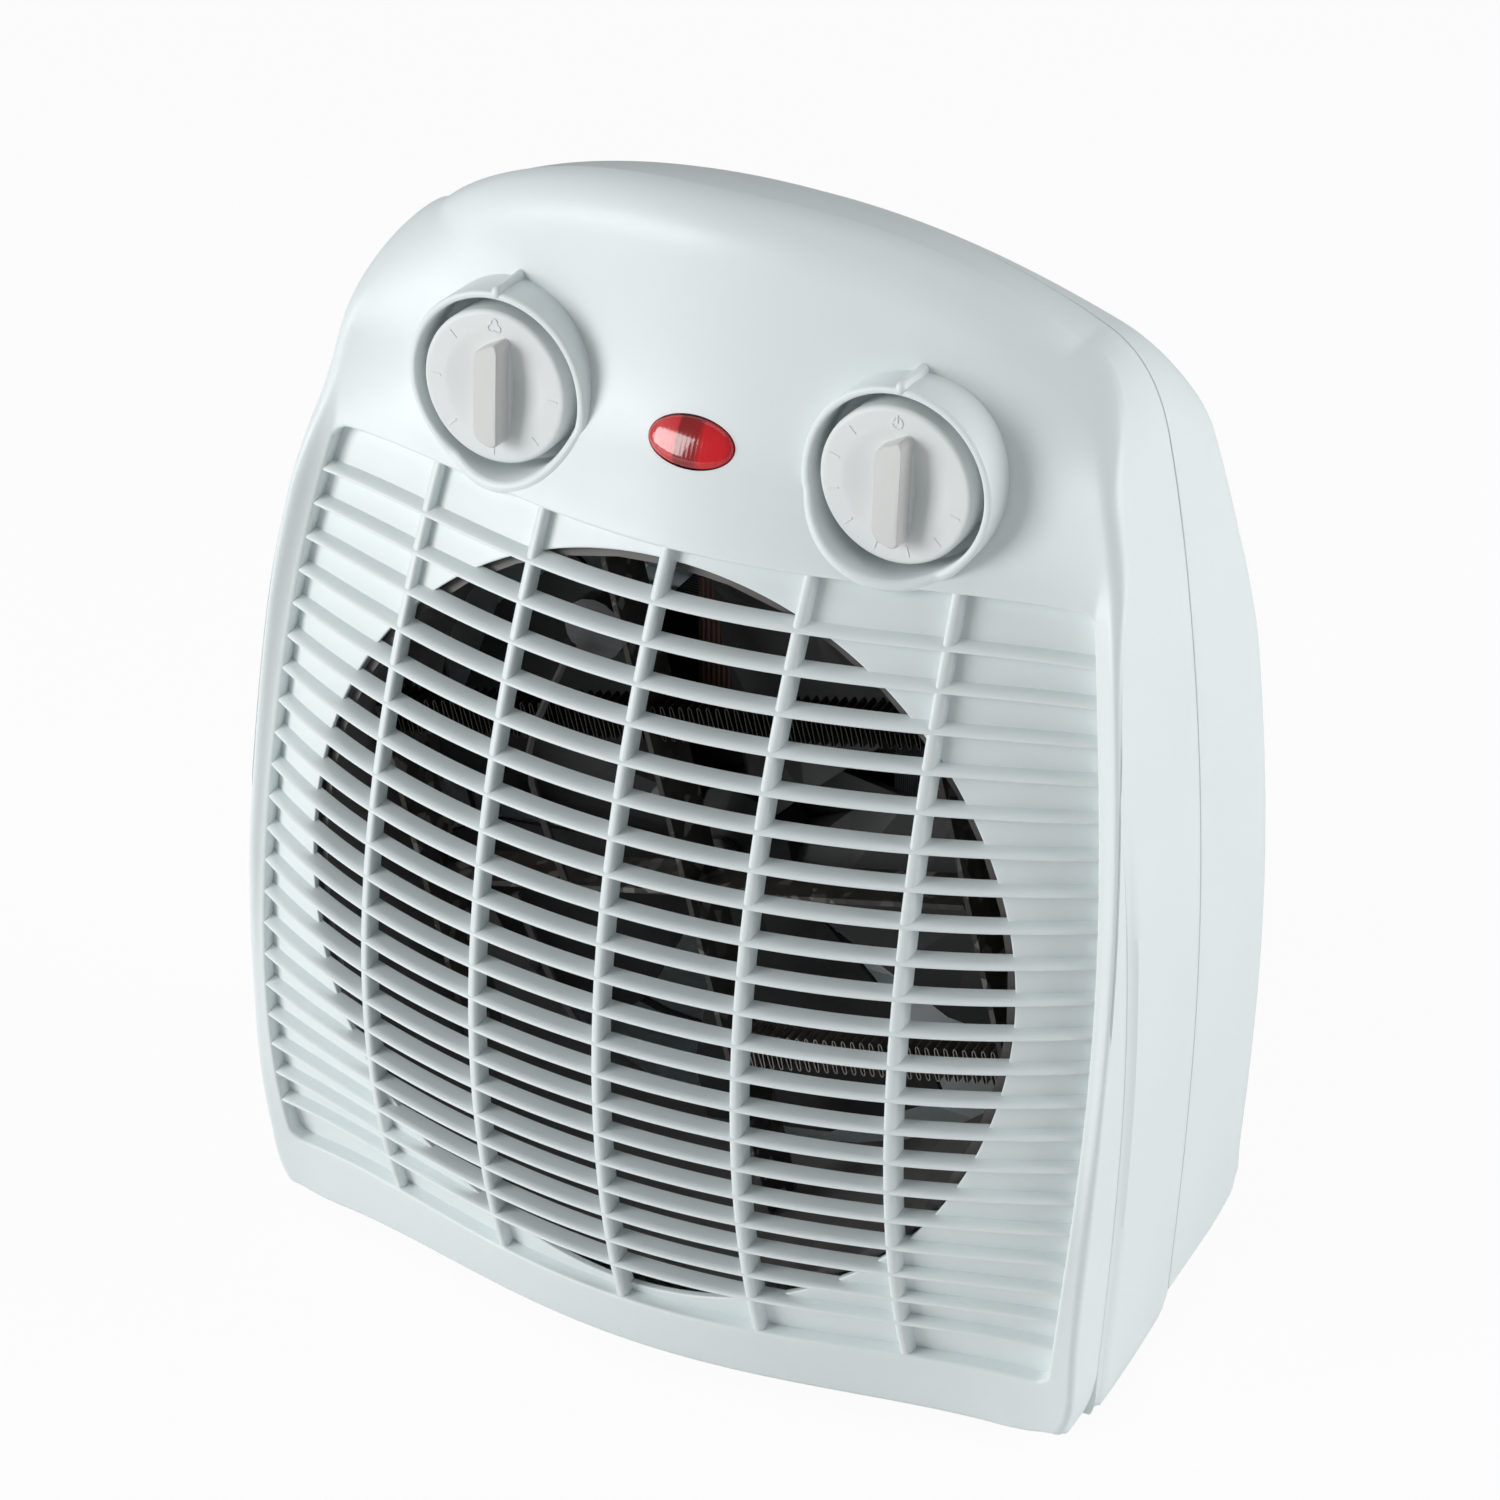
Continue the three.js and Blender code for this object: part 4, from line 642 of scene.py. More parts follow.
def rear_ring(y, extra=0.0, inset=0.0):
    """A ring of the rear cover's skin; extra draws it in where the edge is rounded."""
    behind = np.maximum(0, y - SEAM)
    fall = TOP_FALL * smooth_step(EDGE_Z, *TOP_FALLS) * behind
    side = np.maximum(0, 1 - ((EDGE_Z - BELLY_Z) / BELLY_HALF) ** 2)
    belly = REAR_BELLY * side * behind / (BACK_Y - SEAM_Y)
    x, z = xz(REACH - fall + belly - extra - inset)
    return stack(x, y, np.maximum(z, rear_underside(y) + inset + extra * 0.7))


def rear_edge_ring(turn, inset=0.0):
    """A ring of the rounded rear edge: turn runs from 0 on the back to 1 on the side."""
    edge_z = OUTLET_Z + (REACH - BACK_RADIUS) * SIN
    extra = BACK_RADIUS * (1 - math.sin(turn * math.pi / 2))
    y = back_depth(edge_z) - BACK_RADIUS * (1 - math.cos(turn * math.pi / 2)) - inset
    return rear_ring(y, extra, inset)


def back_ring(share, inset=0.0):
    """A ring of the back face, from the intake's round hole out to the rounded edge."""
    rim = rear_edge_ring(0, inset)
    hole_x, hole_z = xz(INTAKE_R - 0.6)
    x = hole_x + (rim[:, 0] - hole_x) * share
    z = hole_z + (rim[:, 2] - hole_z) * share
    return stack(x, back_depth(z) - inset, z)


def rear_shell():
    """The rear cover, with a tongue that goes into the front cover at the seam."""
    start = SEAM + SEAM_GAP
    rings = [back_ring(s) for s in (0, 0.1, 0.25, 0.4, 0.55, 0.7, 0.82, 0.92, 0.97)]
    rings += [rear_edge_ring(t) for t in np.linspace(0, 1, 9)]
    side = rear_edge_ring(1)[:, 1]
    for share in (0.85, 0.7, 0.5, 0.3, 0.12):
        rings.append(rear_ring(start + (side - start) * share))
    rings.append(rear_ring(start + 0.3))
    rings.append(rear_ring(start + 0.1, inset=0.06))
    rings.append(rear_ring(start, inset=0.25))
    rings.append(rear_ring(start, inset=WALL + 0.3))
    rings.append(rear_ring(start - 3, inset=WALL + 1.3))
    rings.append(rear_ring(start - 3, inset=WALL + 2.5))
    rings.append(rear_ring(start + 2, inset=WALL + 2.5))
    rings.append(rear_edge_ring(1, WALL))
    rings.append(rear_edge_ring(0, WALL))
    rings.append(back_ring(0.5, WALL))
    rings.append(back_ring(0, WALL))
    return ring_object("rear_shell", rings, looped=True, sharp=40)


def intake():
    """The slotted round grille in the back."""
    near, back = BACK_Y - 2, BACK_Y + 0.4
    inner = INTAKE_R - 5.6
    profile = [(INTAKE_R - 2, INTAKE_IN), (INTAKE_R - 2, near), (inner, near)]
    profile += rounded(0.5, 4, inner + 0.5, back - 0.5, 180, 90)
    profile += rounded(1.0, 6, INTAKE_R - 1, back - 1, 90, 0)
    profile += [(INTAKE_R, INTAKE_IN)]
    rings = [r + [0, 0, OUTLET_Z] for r in turned_rings(profile, 160)]
    parts = [ring_object("ring", rings, looped=True)]
    for row in range(-7, 7):
        z = (row + 0.5) * INTAKE_PITCH
        reach = math.sqrt(max(0, SLAT_REACH**2 - z * z))
        if reach < 4:
            continue
        low, high = OUTLET_Z + z - SLAT_HALF, OUTLET_Z + z + SLAT_HALF
        parts.append(soft_box("slat", -reach, reach, near, back, low, high, 0.5))
        # A thin hood behind the slat's lower edge stops light that comes straight down through
        inside = (0.6 - reach, reach - 0.6, near - HOOD_DEPTH, near + 0.8)
        parts.append(soft_box("hood", *inside, low - 0.9, low + 0.4, 0.3))
    upright = (OUTLET_Z - UPRIGHT_REACH, OUTLET_Z + UPRIGHT_REACH)
    parts.append(soft_box("upright", -UPRIGHT_HALF, UPRIGHT_HALF, near, back + 0.02, *upright, 0.5))
    return parts


def upright_rings(x, y, stations, count):
    """Round rings about an upright line, from pairs of height and radius."""
    turn = np.linspace(0, 2 * math.pi, count, endpoint=False)
    across, back = np.cos(turn), np.sin(turn)
    return [np.stack([x + r * across, y + r * back, np.full(count, z)], 1) for z, r in stations]


def edge_pad(side):
    end = [(0, 0.05), (0.4, 2.4), (1.1, 3.4), (2.4, 4.05), (4, 4.35)]
    stations = [(PAD_Z + h, radius) for h, radius in end]
    stations += [(PAD_Z + PAD_TALL - h, radius) for h, radius in reversed(end)]
    return ring_object("pad", upright_rings(side * PAD_X, PAD_Y, stations, 32), caps=True)


def leg(side):
    top = float(rear_underside(FOOT_REAR + LEG_R)) + 1
    stations = [(top, LEG_R), (BODY_BOTTOM + 1, 7.7), (BODY_BOTTOM + 0.3, 7.5), (BODY_BOTTOM, 7.1)]
    rings = upright_rings(side * FOOT_X, FOOT_REAR, stations, 48)
    return ring_object("leg", rings, caps=True, flip=True)


def screw_well(x, z):
    depth, near = float(back_depth(z)), seam_depth(z) + 0.5
    floor_y = near + WELL_DEPTH - 2.5
    profile = [(WELL_R, floor_y), (WELL_R, depth - 0.8), (WELL_R + 1.5, depth - 1.2)]
    profile += [(WELL_R + 2, near), (2.1, near), (2.1, floor_y)]
    return ring_object("well", [r + [x, 0, z] for r in turned_rings(profile, 40)], looped=True)


# Dials and lamp
def dial_disc(side):
    """The dial's face: flat rim, and a shallow round hollow on each side of the grip."""
    count = 160
    turn = np.linspace(0, 2 * math.pi, count, endpoint=False)
    front = -DIAL_PROUD
    rings = []
    for radius in [0.02, *np.linspace(0.6, DIAL_FLAT, 34)]:
        u, v = radius * np.cos(turn), radius * np.sin(turn)
        slope = np.clip((HOLLOW_REACH - np.hypot(u, v * 0.98)) / HOLLOW_SLOPE, 0, 1) ** 1.25
        rings.append(stack(u, front + HOLLOW_DEPTH * slope, v))
    rim = rounded(DIAL_ROUND, 7, DIAL_R - DIAL_ROUND, front + DIAL_ROUND, -90, 0)
    rim += [(DIAL_R, 4), (DIAL_R, DIAL_BACK), (3.3, DIAL_BACK)]
    rings += [circle(radius, count, y) for radius, y in rim]
    return ring_object("disc", [at_dial(r, side) for r in rings], caps=True, sharp=40, flip=True)


def rounded_outline(corners, radius):
    """A closed outline through corners, each one rounded by a curve."""
    points = []
    corners = [np.array(c, float) for c in corners]
    for i, corner in enumerate(corners):
        before, after = corners[i - 1] - corner, corners[(i + 1) % len(corners)] - corner
        reach = min(radius, np.linalg.norm(before) * 0.45, np.linalg.norm(after) * 0.45)
        start = corner + before / np.linalg.norm(before) * reach
        end = corner + after / np.linalg.norm(after) * reach
        for t in np.linspace(0, 1, 7):
            points.append((1 - t) ** 2 * start + 2 * (1 - t) * t * corner + t**2 * end)
    return np.array(points)


def grip(side):
    """The grip: its crown rises from a low left edge to a sharp right one, over a steep flank."""
    line = rounded_outline(GRIP_OUTLINE, GRIP_ROUND)
    front = -DIAL_PROUD
    width = GRIP_OUTLINE[0][0]
    middle = line.mean(axis=0)
    inward = middle - line
    inward /= np.linalg.norm(inward, axis=1)[:, None]

    def tall(points):
        share = np.clip((points[:, 0] + width) / (2 * width), 0, 1)
        return GRIP_LOW + (GRIP_HIGH - GRIP_LOW) * share**0.8

    rings = [
        stack(line[:, 0] * 1.04, front + 2.6, line[:, 1] * 1.03),
        stack(line[:, 0], front - 0.3, line[:, 1]),
    ]
    for t in np.linspace(0, math.pi / 2, 6):
        inner = line + inward * GRIP_SOFT * (1 - math.cos(t))
        rings.append(stack(inner[:, 0], front - tall(line) + GRIP_SOFT * (1 - math.sin(t)), inner[:, 1]))
    for shrink in (0.6, 0.25, 0.02):
        inner = middle + (line + inward * GRIP_SOFT - middle) * shrink
        rings.append(stack(inner[:, 0], front - tall(inner), inner[:, 1]))
    return ring_object("grip", [at_dial(r, side) for r in rings], caps=True, sharp=50)


def dial_marks(side):
    """Raised ticks round the dial, and a small plain sign at its top."""
    parts = []
    front = -DIAL_PROUD

    def stroke(start, end, width):
        a, b = np.array(start), np.array(end)
        along = (b - a) / np.linalg.norm(b - a)
        aside = np.array([-along[1], along[0]]) * width / 2
        rings = []
        for y, k in ((front + 0.1, 1.0), (front - 0.1, 1.0), (front - 0.16, 0.7)):
            over = along * 0.1 * k
            corners = (a - aside * k - over, b - aside * k + over, b + aside * k + over, a + aside * k - over)
            rings.append(at_dial([[c[0], y, c[1]] for c in corners], side))
        parts.append(ring_object("mark", rings, caps=True, flip=True))

    def point(radius, degrees, middle=(0.0, 0.0)):
        t = math.radians(degrees)
        return middle[0] + radius * math.cos(t), middle[1] + radius * math.sin(t)

    def arc(middle, radius, start, end, steps):
        turns = np.linspace(start, end, steps)
        for t0, t1 in zip(turns[:-1], turns[1:]):
            stroke(point(radius, t0, middle), point(radius, t1, middle), 0.26)

    ticks = (135, 180, 225, 270, 315, 0) if side < 0 else (135, 165, 195, 225, 255, 285, 315, 345)
    for angle in ticks:
        stroke(point(TICK_IN, angle), point(TICK_OUT, angle), 0.42)
    sign = (0.0, SIGN_UP)
    if side < 0:
        for turn in (90, 210, 330):
            arc(point(0.85, turn, sign), 0.75, turn - 110, turn + 110, 6)
    else:
        arc(sign, 1.15, 200, 520, 9)
        stroke(sign, (0.0, SIGN_UP + 1.6), 0.26)
    return parts


def lamp_lens():
    """A shallow domed oval lens on a short barrel."""
    profile = []
    for t in np.linspace(0, 1, 13):
        radius = math.sin(t * math.pi / 2) * 0.985
        profile.append((max(radius, 0.002), -1.5 * math.cos(t * math.pi / 2) ** 0.9))
    profile += [(1.0, 0.25), (1.0, 4.0), (0.8, 4.0), (0.8, 1.6), (0.4, 1.4), (0.002, 1.3)]
    rings = []
    for radius, y in profile:
        rings.append(at_lamp(circle(radius * LAMP_W, 72, y, radius * LAMP_H)))
    return ring_object("lamp_lens_domed", rings, caps=True, sharp=50, flip=True)


# Inside
def element_point(u, y, v):
    """A point of the element, whose boards stand turned from the level."""
    c, s = math.cos(ELEMENT_TURN), math.sin(ELEMENT_TURN)
    return [u * c - v * s, y, OUTLET_Z + u * s + v * c]


def ribbon(side, level):
    """A heating ribbon folded to and fro, thin, with its edge to the front."""
    share = np.linspace(0, 1, 6 * RIBBON_FOLDS + 1)
    sway = np.sin(math.pi * share * RIBBON_FOLDS)
    wave = RIBBON_SWING * sway / np.sqrt(0.12 + sway**2)
    line = np.stack([side * (RIBBON_START + (RIBBON_END - RIBBON_START) * share), level + wave], 1)
    along = np.gradient(line, axis=0)
    along /= np.linalg.norm(along, axis=1)[:, None]
    aside = np.stack([-along[:, 1], along[:, 0]], 1) * RIBBON_HALF
    rings = []
    for one, other in zip(line + aside, line - aside):
        front = [element_point(p[0], RIBBON_FRONT, p[1]) for p in (one, other)]
        back = [element_point(p[0], RIBBON_BACK, p[1]) for p in (other, one)]
        rings.append(front + back)
    return ring_object("ribbon", rings, caps=True, sharp=60)


# Materials
class Nodes:
    """Small helper for building one node material."""

    def __init__(self, name):
        self.material = bpy.data.materials.new(name)
        self.material.use_nodes = True
        self.tree = self.material.node_tree
        self.shader = self.tree.nodes["Principled BSDF"]
        self.where = self.tree.nodes.new("ShaderNodeTexCoord").outputs["Object"]

    def node(self, kind, inputs=None, **settings):
        node = self.tree.nodes.new(kind)
        for key, value in settings.items():
            setattr(node, key, value)
        for key, value in (inputs or {}).items():
            self.put(node.inputs[key], value)
        return node

    def put(self, socket, value):
        if isinstance(value, bpy.types.NodeSocket):
            self.tree.links.new(value, socket)
        else:
            socket.default_value = value

    def noise(self, scale, detail=3.0, roughness=0.5, where=None):
        inputs = {"Vector": where or self.where, "Scale": scale, "Detail": detail, "Roughness": roughness}
        return self.node("ShaderNodeTexNoise", inputs).outputs["Fac"]

    def bands(self, scale, direction, **inputs):
        inputs = {"Vector": self.where, "Scale": scale, **inputs}
        return self.node("ShaderNodeTexWave", inputs, bands_direction=direction).outputs["Fac"]

    def ramp(self, fac, stops):
        node = self.node("ShaderNodeValToRGB", {"Fac": fac})
        ramp = node.color_ramp
        while len(ramp.elements) < len(stops):
            ramp.elements.new(0.5)
        for element, (place, colour) in zip(ramp.elements, stops):
            element.position = place
            element.color = (*colour, 1)
        return node.outputs["Color"]

    def span(self, fac, low, high, start=0.0, end=1.0):
        inputs = {"Value": fac, "From Min": start, "From Max": end, "To Min": low, "To Max": high}
        return self.node("ShaderNodeMapRange", inputs).outputs["Result"]

    def bump(self, height, strength, distance):
        inputs = {"Height": height, "Strength": strength, "Distance": distance}
        return self.node("ShaderNodeBump", inputs).outputs["Normal"]

    def tones(self, fac, colour, drift):
        """The colour, a little darker and lighter by turns."""
        return self.ramp(fac, [(0.3, shifted(colour, 1 - drift)), (0.7, shifted(colour, 1 + drift))])

    def set(self, **values):
        for key, value in values.items():
            self.put(self.shader.inputs[key.replace("_", " ")], value)


def shifted(colour, amount):
    return tuple(min(1.0, max(0.0, c * amount)) for c in colour)


def plastic(name, colour, rough=0.4, grain=1400, strength=0.06, drift=0.02, ior=1.47, subsurface=0.0):
    m = Nodes(name)
    m.set(Base_Color=m.tones(m.noise(22, 2), colour, drift))
    m.set(Roughness=m.span(m.noise(60, 4), rough - 0.04, rough + 0.05, 0.3, 0.7))
    m.set(Normal=m.bump(m.noise(grain, 2, 0.6), strength, 0.0002), IOR=ior)
    if subsurface:
        m.set(Subsurface_Weight=subsurface, Subsurface_Radius=(0.002, 0.002, 0.0018), Subsurface_Scale=1.0)
    return m.material


def dial_material():
    """Pale matt moulding. The grips, which stand in front of the dials' face, are coloured darker and greyer
    than the face.
    """
    m = Nodes("dial_plastic")
    slow = m.noise(22, 2)
    face = m.tones(slow, (0.79, 0.82, 0.81), 0.008)
    crown = m.tones(slow, (0.64, 0.645, 0.63), 0.02)
    outward = (0.0, -math.cos(DIAL_TILT), math.sin(DIAL_TILT))
    reach = m.node("ShaderNodeVectorMath", {0: m.where, 1: outward}, operation="DOT_PRODUCT")
    level = float(to_frame(at_dial([0.0, -DIAL_PROUD, 0.0], 1)) @ np.array(outward))
    share = m.span(reach.outputs["Value"], 0.0, 1.0, level + 0.2 * MM, level + 0.6 * MM)
    mix = m.node("ShaderNodeMix", {"Factor": share}, data_type="RGBA")
    m.put(mix.inputs[6], face)
    m.put(mix.inputs[7], crown)
    m.set(Base_Color=mix.outputs[2], Roughness=m.span(m.noise(60, 4), 0.42, 0.51, 0.3, 0.7))
    m.set(Normal=m.bump(m.noise(1900, 2, 0.6), 0.10, 0.0002), IOR=1.47)
    return m.material


def metal(name, colour, rough=0.35, scale=(40, 900, 900), strength=0.08):
    m = Nodes(name)
    stretch = m.node("ShaderNodeMapping", {"Vector": m.where, "Scale": scale})
    lines = m.noise(1.0, 4, 0.65, stretch.outputs["Vector"])
    patch = m.noise(35, 3)
    m.set(Base_Color=m.ramp(patch, [(0.3, shifted(colour, 0.88)), (0.7, shifted(colour, 1.06))]))
    m.set(Roughness=m.span(lines, rough - 0.08, rough + 0.14, 0.3, 0.7))
    m.set(Normal=m.bump(lines, strength, 0.0002), Metallic=1.0)
    return m.material


def lens_material():
    """Red see-through moulding: darker over the lamp behind its middle, with fine upright ribs."""
    m = Nodes("red_lens")
    place = m.node("ShaderNodeSeparateXYZ", {"Vector": m.where})
    across = m.span(place.outputs["X"], 0.0, 1.0, -LAMP_W * MM, LAMP_W * MM)
    colour = m.ramp(across, [
        (0.0, (0.80, 0.035, 0.045)), (0.12, (0.86, 0.10, 0.11)), (0.34, (0.80, 0.045, 0.05)),
        (0.37, (0.33, 0.012, 0.014)), (0.60, (0.40, 0.012, 0.014)), (0.66, (0.82, 0.012, 0.02)),
        (1.0, (0.88, 0.01, 0.02)),
    ])
    ribs = m.bands(320.0, "X", Distortion=0.0)
    m.set(Base_Color=colour, Roughness=m.span(m.noise(300), 0.10, 0.16), Normal=m.bump(ribs, 0.05, 0.0002))
    m.set(Transmission_Weight=0.25, IOR=1.49, Coat_Weight=0.6, Coat_Roughness=0.04)
    return m.material


def mica_material():
    m = Nodes("mica_board")
    flakes = m.node("ShaderNodeTexVoronoi", {"Vector": m.where, "Scale": 380.0})
    tone = m.node("ShaderNodeSeparateColor", {"Color": flakes.outputs["Color"]}).outputs["Red"]
    # Near black, far darker than mica: painted shade of the dark inside; the paler flakes are grain.
    stops = [(0.0, (0.035, 0.032, 0.029)), (0.8, (0.06, 0.055, 0.05)), (1.0, (0.22, 0.21, 0.19))]
    m.set(Base_Color=m.ramp(tone, stops), Roughness=m.span(m.noise(200), 0.35, 0.6))
    m.set(Normal=m.bump(flakes.outputs["Distance"], 0.2, 0.0002))
    return m.material


def winding_material():
    m = Nodes("taped_winding")
    wave = m.bands(260.0, "X", Distortion=0.6, Detail=1.0)
    # The winding is coloured near black: painted shade of the dark inside.
    m.set(Base_Color=m.ramp(wave, [(0.2, (0.03, 0.014, 0.009)), (0.8, (0.08, 0.035, 0.02))]))
    m.set(Roughness=m.span(m.noise(120), 0.3, 0.5), Normal=m.bump(wave, 0.4, 0.0003))
    return m.material


def laminated_material():
    m = Nodes("laminated_iron")
    wave = m.bands(300.0, "Y", Distortion=0.1)
    # Near-black iron: painted shade of the dark inside.
    m.set(Base_Color=m.ramp(wave, [(0.3, (0.05, 0.05, 0.052)), (0.7, (0.12, 0.12, 0.125))]))
    m.set(Roughness=m.span(m.noise(90), 0.35, 0.55), Normal=m.bump(wave, 0.3, 0.0002), Metallic=1.0)
    return m.material


def glass_material():
    m = Nodes("bulb_glass")
    m.set(Base_Color=m.ramp(m.noise(90), [(0.3, (0.86, 0.66, 0.56)), (0.7, (0.95, 0.8, 0.72))]))
    m.set(Roughness=m.span(m.noise(200), 0.02, 0.08), Transmission_Weight=0.9, IOR=1.5)
    return m.material


CASING = plastic("casing_plastic", (0.805, 0.86, 0.865), 0.38, 1500, 0.05, 0.006, subsurface=0.05)
DIAL = dial_material()
DUCT = plastic("duct_plastic", (0.135, 0.128, 0.122), 0.52, 900, 0.15, 0.06)
# The fan's near-black colour is painted shade of the dark inside.
FAN = plastic("fan_plastic", (0.018, 0.018, 0.019), 0.5, 900, 0.12, 0.06)
BLACK = plastic("black_plastic", (0.03, 0.03, 0.032), 0.45, 900, 0.15, 0.08)
PALE = plastic("clamp_plastic", (0.62, 0.62, 0.6), 0.5, 900, 0.12, 0.03)
CERAMIC = plastic("ceramic", (0.78, 0.76, 0.70), 0.6, 500, 0.2, 0.03)
RUBBER = plastic("rubber", (0.022, 0.022, 0.023), 0.72, 700, 0.3, 0.1, ior=1.5)
SLEEVE = plastic("wire_sleeve", (0.05, 0.045, 0.045), 0.5, 900, 0.2, 0.1)
STEEL = metal("zinc_steel", (0.56, 0.57, 0.58))
# Near-black steel for the cut-out, bracket, clip and front strap: painted shade of the dark inside.
SHADED_STEEL = metal("steel_painted_shade", (0.12, 0.12, 0.122), 0.5)
RIBBON = metal("heating_ribbon", (0.42, 0.39, 0.36), 0.42, (200, 200, 200), 0.15)
# A far darker copy of the ribbon steel for the two upper ribbons: painted shade, where the inside lies unlit.
SHADED_RIBBON = metal("heating_ribbon_painted_shade", (0.07, 0.065, 0.06), 0.5, (200, 200, 200), 0.15)
BRONZE = metal("bronze_bush", (0.60, 0.43, 0.20), 0.4)
MICA = mica_material()
LAMINATED = laminated_material()

# The nodes that are seen as they are, by their material
CARRIED_OVER = [
    (glass_material(), "neon_lamp"),
    (BLACK, "lamp_holder", "function_switch"),
    (STEEL, "function_shaft", "thermostat_shaft", "motor_shaft", "bearing_strap_rear"),
    (STEEL, "motor_screw_1", "motor_screw_2", *(f"case_screw_{i}" for i in (1, 2, 3, 4))),
    (SHADED_STEEL, "thermal_cut_out", "impeller_clip", "motor_bracket", "bearing_strap_front"),
    (LAMINATED, "motor_rotor", "stator_core"),
    (winding_material(), "motor_coil"),
    (MICA, "mica_board_upright", "mica_board_level", "mica_end_board_left", "mica_end_board_right"),
    (CERAMIC, "terminal_block", "thermostat"),
    (DUCT, "fan_duct"),
    (FAN, "fan_impeller"),
    (BRONZE, "shaft_bush_front", "shaft_bush_rear"),
    (RUBBER, "cord_inlet_bush", "foot_front_left", "foot_front_right", "foot_rear_left", "foot_rear_right"),
    (PALE, "cord_clamp"),
    (SLEEVE, "element_lead_upper", "element_lead_lower", "lead_right", "lead_left"),
]


def dress(obj, material):
    obj.data.materials.clear()
    obj.data.materials.append(material)


for material, *names in CARRIED_OVER:
    for name in names:
        dress(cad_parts[name], material)
        shade(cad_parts[name], 30)


def piece(obj, name, body, slot, material, *nodes):
    obj.name = name
    dress(obj, material)
    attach(obj, body)
    if nodes:
        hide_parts(*nodes)
    return obj


def together(name, objects):
    joined = join_objects(name, objects)
    shade(joined, 40)
    return joined


# The pieces
holes = [dial_rod(side, COLLAR_OUT - 0.4, -14, COLLAR_FLOOR + 3) for side in (-1, 1)]
holes.append(lamp_rod(LAMP_W + 0.3, LAMP_H + 0.3, -9, 13))
piece(carve(front_shell(), holes), "front_shell", "casing", "casing", CASING, "front_cover")
piece(together("louvres", [louvre(i) for i in range(LOUVRES)]), "louvres", "casing", "casing", CASING)
piece(together("bars", [bar(i) for i in range(BARS)]), "upright_bars", "casing", "casing", CASING)
piece(outlet_panel(), "outlet_panel", "casing", "casing", CASING)
for side, word in ((-1, "left"), (1, "right")):
    ring = together("collar", [collar(side), pointer_rib(side)])
    piece(ring, f"dial_collar_{word}", "casing", "casing", CASING)

holes = [rod(INLET_X, INLET_Z, INLET_R, 105, 125)]
holes += [rod(x, z, WELL_R, seam_depth(z) + WELL_DEPTH - 2, 130) for x, z in SCREWS]
piece(carve(rear_shell(), holes), "rear_shell", "casing", "casing", CASING, "rear_cover")
extras = intake() + [edge_pad(-1), edge_pad(1), leg(-1), leg(1)]
extras += [screw_well(x, z) for x, z in SCREWS]
piece(together("rear_details", extras), "rear_details", "casing", "casing", CASING)

for side, body, word in ((-1, "function_control", "function"), (1, "thermostat_control", "thermostat")):
    knob = together("knob", [dial_disc(side), grip(side), *dial_marks(side)])
    piece(knob, f"{word}_dial", body, "dial", DIAL, f"{word}_knob")

piece(lamp_lens(), "lamp_lens_domed", "casing", "lens", lens_material(), "lamp_lens")
for word, side, level, strip in (("lower", 1, -RIBBON_LEVEL, RIBBON),
                                 ("upper_right", 1, RIBBON_LEVEL, SHADED_RIBBON),
                                 ("upper_left", -1, RIBBON_LEVEL, SHADED_RIBBON)):
    piece(ribbon(side, level), f"ribbon_{word}", "casing", "ribbon", strip, f"heating_ribbon_{word}")


# Stage, light and camera
def camera():
    data = bpy.data.cameras.new("camera")
    data.sensor_width = SENSOR
    data.lens = LENS
    data.clip_start, data.clip_end = 0.01, 20.0
    obj = bpy.data.objects.new("camera", data)
    place = Vector(CAMERA_PLACE) * MM
    forward = (Vector(CAMERA_TARGET) * MM - place).normalized()
    right = forward.cross(Vector((0, 0, 1))).normalized()
    up = right.cross(forward)
    basis = Matrix((right, up, -forward)).transposed().to_4x4()
    obj.matrix_world = Matrix.Translation(place) @ basis
    bpy.context.scene.collection.objects.link(obj)
    bpy.context.scene.camera = obj


def area(name, place, power):
    """A soft square lamp of 0.9 m that looks at the middle of the heater."""
    data = bpy.data.lights.new(name, "AREA")
    data.shape = "SQUARE"
    data.size = 0.9
    data.energy = power
    obj = bpy.data.objects.new(name, data)
    direction = Vector((0, 0, 0.13)) - Vector(place)
    obj.rotation_mode = "QUATERNION"
    obj.rotation_quaternion = direction.to_track_quat("-Z", "Y")
    obj.location = place
    bpy.context.scene.collection.objects.link(obj)


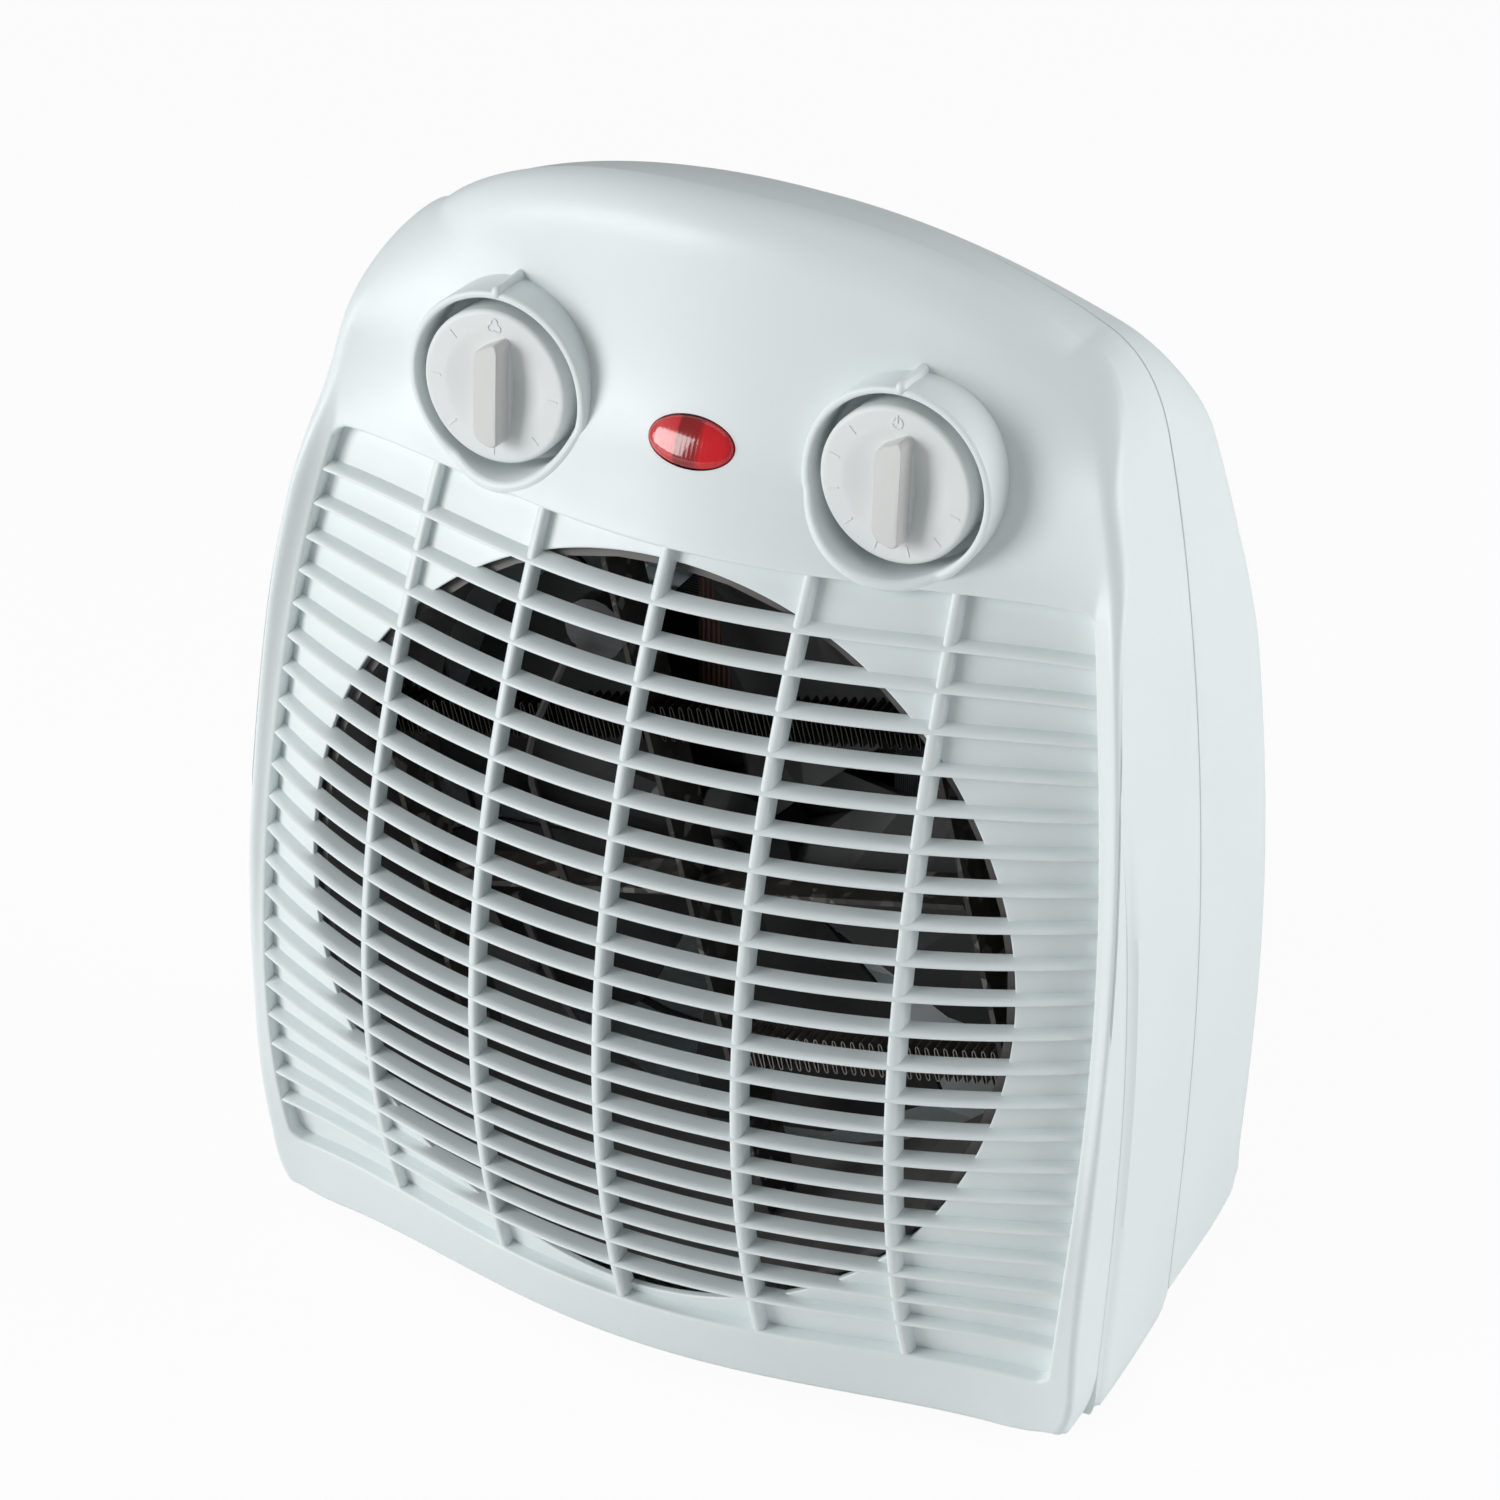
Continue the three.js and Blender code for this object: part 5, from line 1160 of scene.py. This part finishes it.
def white_for_view(tree, shade_socket, white_socket, output, share):
    """Shows white to rays that see the backdrop and the plain shade to the rest."""
    path = tree.nodes.new("ShaderNodeLightPath")
    seen = tree.nodes.new("ShaderNodeMath")
    seen.operation = "MAXIMUM"
    scaled = tree.nodes.new("ShaderNodeMath")
    scaled.operation = "MULTIPLY"
    scaled.inputs[1].default_value = share
    mix = tree.nodes.new("ShaderNodeMixShader")
    for source, target in (
        (path.outputs["Is Camera Ray"], seen.inputs[0]),
        (path.outputs["Is Transmission Ray"], seen.inputs[1]),
        (seen.outputs[0], scaled.inputs[0]),
        (scaled.outputs[0], mix.inputs[0]),
        (shade_socket, mix.inputs[1]),
        (white_socket, mix.inputs[2]),
        (mix.outputs[0], output),
    ):
        tree.links.new(source, target)


def stage():
    size = 4.0
    data = bpy.data.meshes.new("floor")
    corners = [(-size, -size, 0), (size, -size, 0), (size, size, 0), (-size, size, 0)]
    data.from_pydata(corners, [], [(0, 1, 2, 3)])
    floor = bpy.data.objects.new("floor", data)
    bpy.context.scene.collection.objects.link(floor)
    m = Nodes("pale_floor")
    m.set(Base_Color=m.ramp(m.noise(3), [(0.3, (0.86, 0.86, 0.86)), (0.7, (0.9, 0.9, 0.9))]))
    m.set(Roughness=m.span(m.noise(9), 0.7, 0.8))
    white = m.node("ShaderNodeEmission", {"Strength": 1.0})
    output = m.tree.nodes["Material Output"].inputs["Surface"]
    # a little less than all of it is white, so that the heater's shadow stays
    white_for_view(m.tree, m.shader.outputs[0], white.outputs[0], output, 0.94)
    floor.data.materials.append(m.material)

    world = bpy.data.worlds.new("studio")
    bpy.context.scene.world = world
    world.use_nodes = True
    tree = world.node_tree
    soft = tree.nodes["Background"]
    soft.inputs["Color"].default_value = (0.93, 0.97, 1.0, 1)
    soft.inputs["Strength"].default_value = 0.27
    white = tree.nodes.new("ShaderNodeBackground")
    white.inputs["Strength"].default_value = 1.0
    output = tree.nodes["World Output"].inputs["Surface"]
    white_for_view(tree, soft.outputs[0], white.outputs[0], output, 1.0)
    area("key", (-1.1, -1.25, 0.6), 19)
    area("side", (1.45, 0.5, 0.5), 14)
    area("top", (0.0, 0.1, 1.6), 2)


camera()
stage()
bpy.context.scene.view_settings.view_transform = "Standard"
